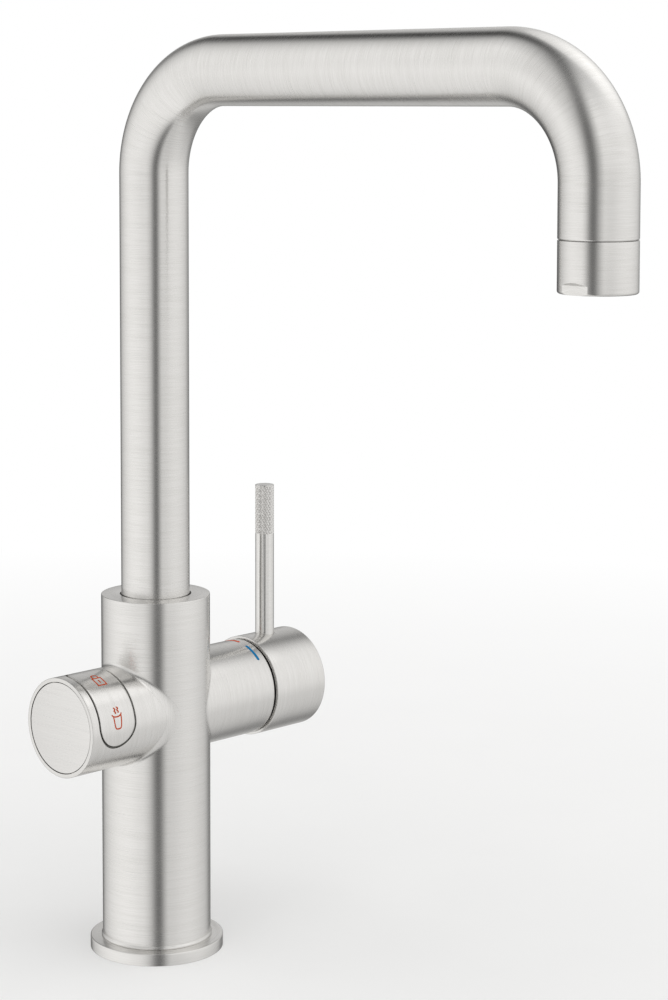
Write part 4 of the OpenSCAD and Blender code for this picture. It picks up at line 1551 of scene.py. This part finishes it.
    def card(self) -> None:
        """Hangs a small white card by the outlet bend, which only reflections show.

        It is a disc that faces the bend and thins out from a third of its radius.
        """
        turn, share = whole_turn(48)[:, None], np.linspace(0.0, 1.0, 12)[:, None, None]
        ring = np.cos(turn) * np.array([0.0, 1.0, 0.0]) + np.sin(turn) * np.array(self.card_along)
        points = np.array(self.card_at) + self.card_r * share * ring
        grain = np.broadcast_to(share / MM, points.shape)
        n = Nodes(bpy.data.materials.new("white card"))
        white = n.dress(
            Alpha=n.spread(n.first_grain(), 0.3, 1.0, 1.0, 0.0), Base_Color=(0.0, 0.0, 0.0, 1.0),
            Specular_IOR_Level=0.0, Emission_Color=(1.0, 0.995, 0.985, 1.0), Emission_Strength=self.card_glow,
        )
        seen_in_reflections(Skin([Patch(points, points[..., :2], grain)]).mesh("white_card"), white)

    def surround(self) -> None:
        """Fills the studio with soft light that changes with the direction it comes from.

        Between the heights of two rings the light blends from one to the other, and
        over the highest ring it evens out. The camera itself sees plain white.
        """
        world = bpy.data.worlds.new("studio")
        bpy.context.scene.world = world
        n = Nodes(world)
        way = n.add("TexCoord", "Generated")
        angle = math.radians(90.0 - self.heading)
        turned_way = n.add("VectorRotate", rotation_type="Z_AXIS", Angle=angle, Vector=way)
        around = n.add("TexGradient", "Color", gradient_type="RADIAL", in0=turned_way)
        height = n.add("SeparateXYZ", "Z", in0=way)
        colours: list[Socket | tuple[float, ...]] = []
        for _, stops in RINGS:
            shades = [(0.5 + degrees / 360.0, value / self.power) for degrees, value in stops]
            colours.append(n.ramp(around, [(at, (s, s * 0.995, s * 0.985)) for at, s in shades]))
        grey = self.overhead / self.power
        colours.append((grey, grey, grey, 1.0))
        heights, colour = [ring[0] for ring in RINGS] + [1.0], colours[0]
        for start, end, target in zip(heights[:-1], heights[1:], colours[1:]):
            rise = n.add("MapRange", From_Min=start, From_Max=end, Value=height)
            colour = n.add("Mix", 2, data_type="RGBA", in0=rise, in6=colour, in7=target)
        light = n.fill(n.tree.nodes["Background"], Color=colour, Strength=self.power).outputs[0]
        white = n.add("Background", Color=(1.0, 1.0, 1.0, 1.0))
        chosen = n.add("MixShader", Fac=n.add("LightPath", "Is Camera Ray"), in1=light, in2=white)
        n.fill(n.tree.nodes["World Output"], Surface=chosen)

    def softbox(self, name: str, at: Point, size: float, watts: float, aim: Point = (0.0, -0.08, 0.18)) -> None:
        """Hangs a square soft light that no reflection shows.

        Args:
            name: The light's name.
            at: Where it hangs, in metres.
            size: Length of its side, in metres.
            watts: Its power.
            aim: The point it faces, in metres.
        """
        light = bpy.data.lights.new(name, "AREA")
        light.shape, light.size, light.energy = "SQUARE", size, watts
        lamp = bpy.data.objects.new(name, light)
        turn = (Vector(aim) - Vector(at)).to_track_quat("-Z", "Y").to_matrix().to_4x4()
        lamp.matrix_world = Matrix.Translation(at) @ turn
        lamp.visible_glossy = False
        bpy.context.scene.collection.objects.link(lamp)

    def build(self) -> None:
        """Sets up the whole studio."""
        for step in (self.camera, self.floor, self.flag, self.card, self.surround):
            step()
        self.softbox("overhead_softbox", (-0.25, -0.35, 1.9), 1.4, 9.0)
        bpy.context.scene.view_settings.view_transform = "Standard"


def main() -> None:
    """Builds the tap round its frame and reports each piece."""
    logging.basicConfig(level=logging.INFO, format="%(name)s: %(message)s")
    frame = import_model()
    Studio().build()
    steel = Brushed("brushed stainless steel").build()
    plate_steel = Brushed("brushed stainless steel of the plate", along=70.0).build()
    disc_steel = Brushed(
        "straight-brushed stainless steel", (0.745, 0.735, 0.72), (0.775, 0.765, 0.75), along=110.0, across=3200.0,
        depth=0.0000005, stretch=0.4,
    ).build()
    pin_steel = Brushed("turned stainless steel of the pin", roughness=0.2, depth=0.000002).build()
    ink = Ink("red-orange ink", (0.42, 0.052, 0.012), (0.52, 0.078, 0.022)).build()
    red = Ink("red ink", (0.6, 0.075, 0.024), (0.7, 0.1, 0.036)).build()
    blue = Ink("blue ink", (0.003, 0.15, 0.34), (0.006, 0.19, 0.42)).build()
    lip = Moulded("grey lip rubber", (0.13, 0.13, 0.122), (0.165, 0.165, 0.155), 0.6, 1800.0, 0.00003, 0.2).build()
    assemblies = [
        Column(steel),
        MixerHousing(steel, red, blue),
        ButtonControl(steel, plate_steel, disc_steel, ink, lip),
        LeverCap(steel, pin_steel),
        Spout(steel),
        Insides(frame["nodes"]),
    ]
    for assembly in assemblies:
        for piece in assembly.build():
            LOG.info("%s: %s, %d faces", type(assembly).__name__, piece.name, len(piece.data.polygons))


if __name__ == "__main__":
    main()
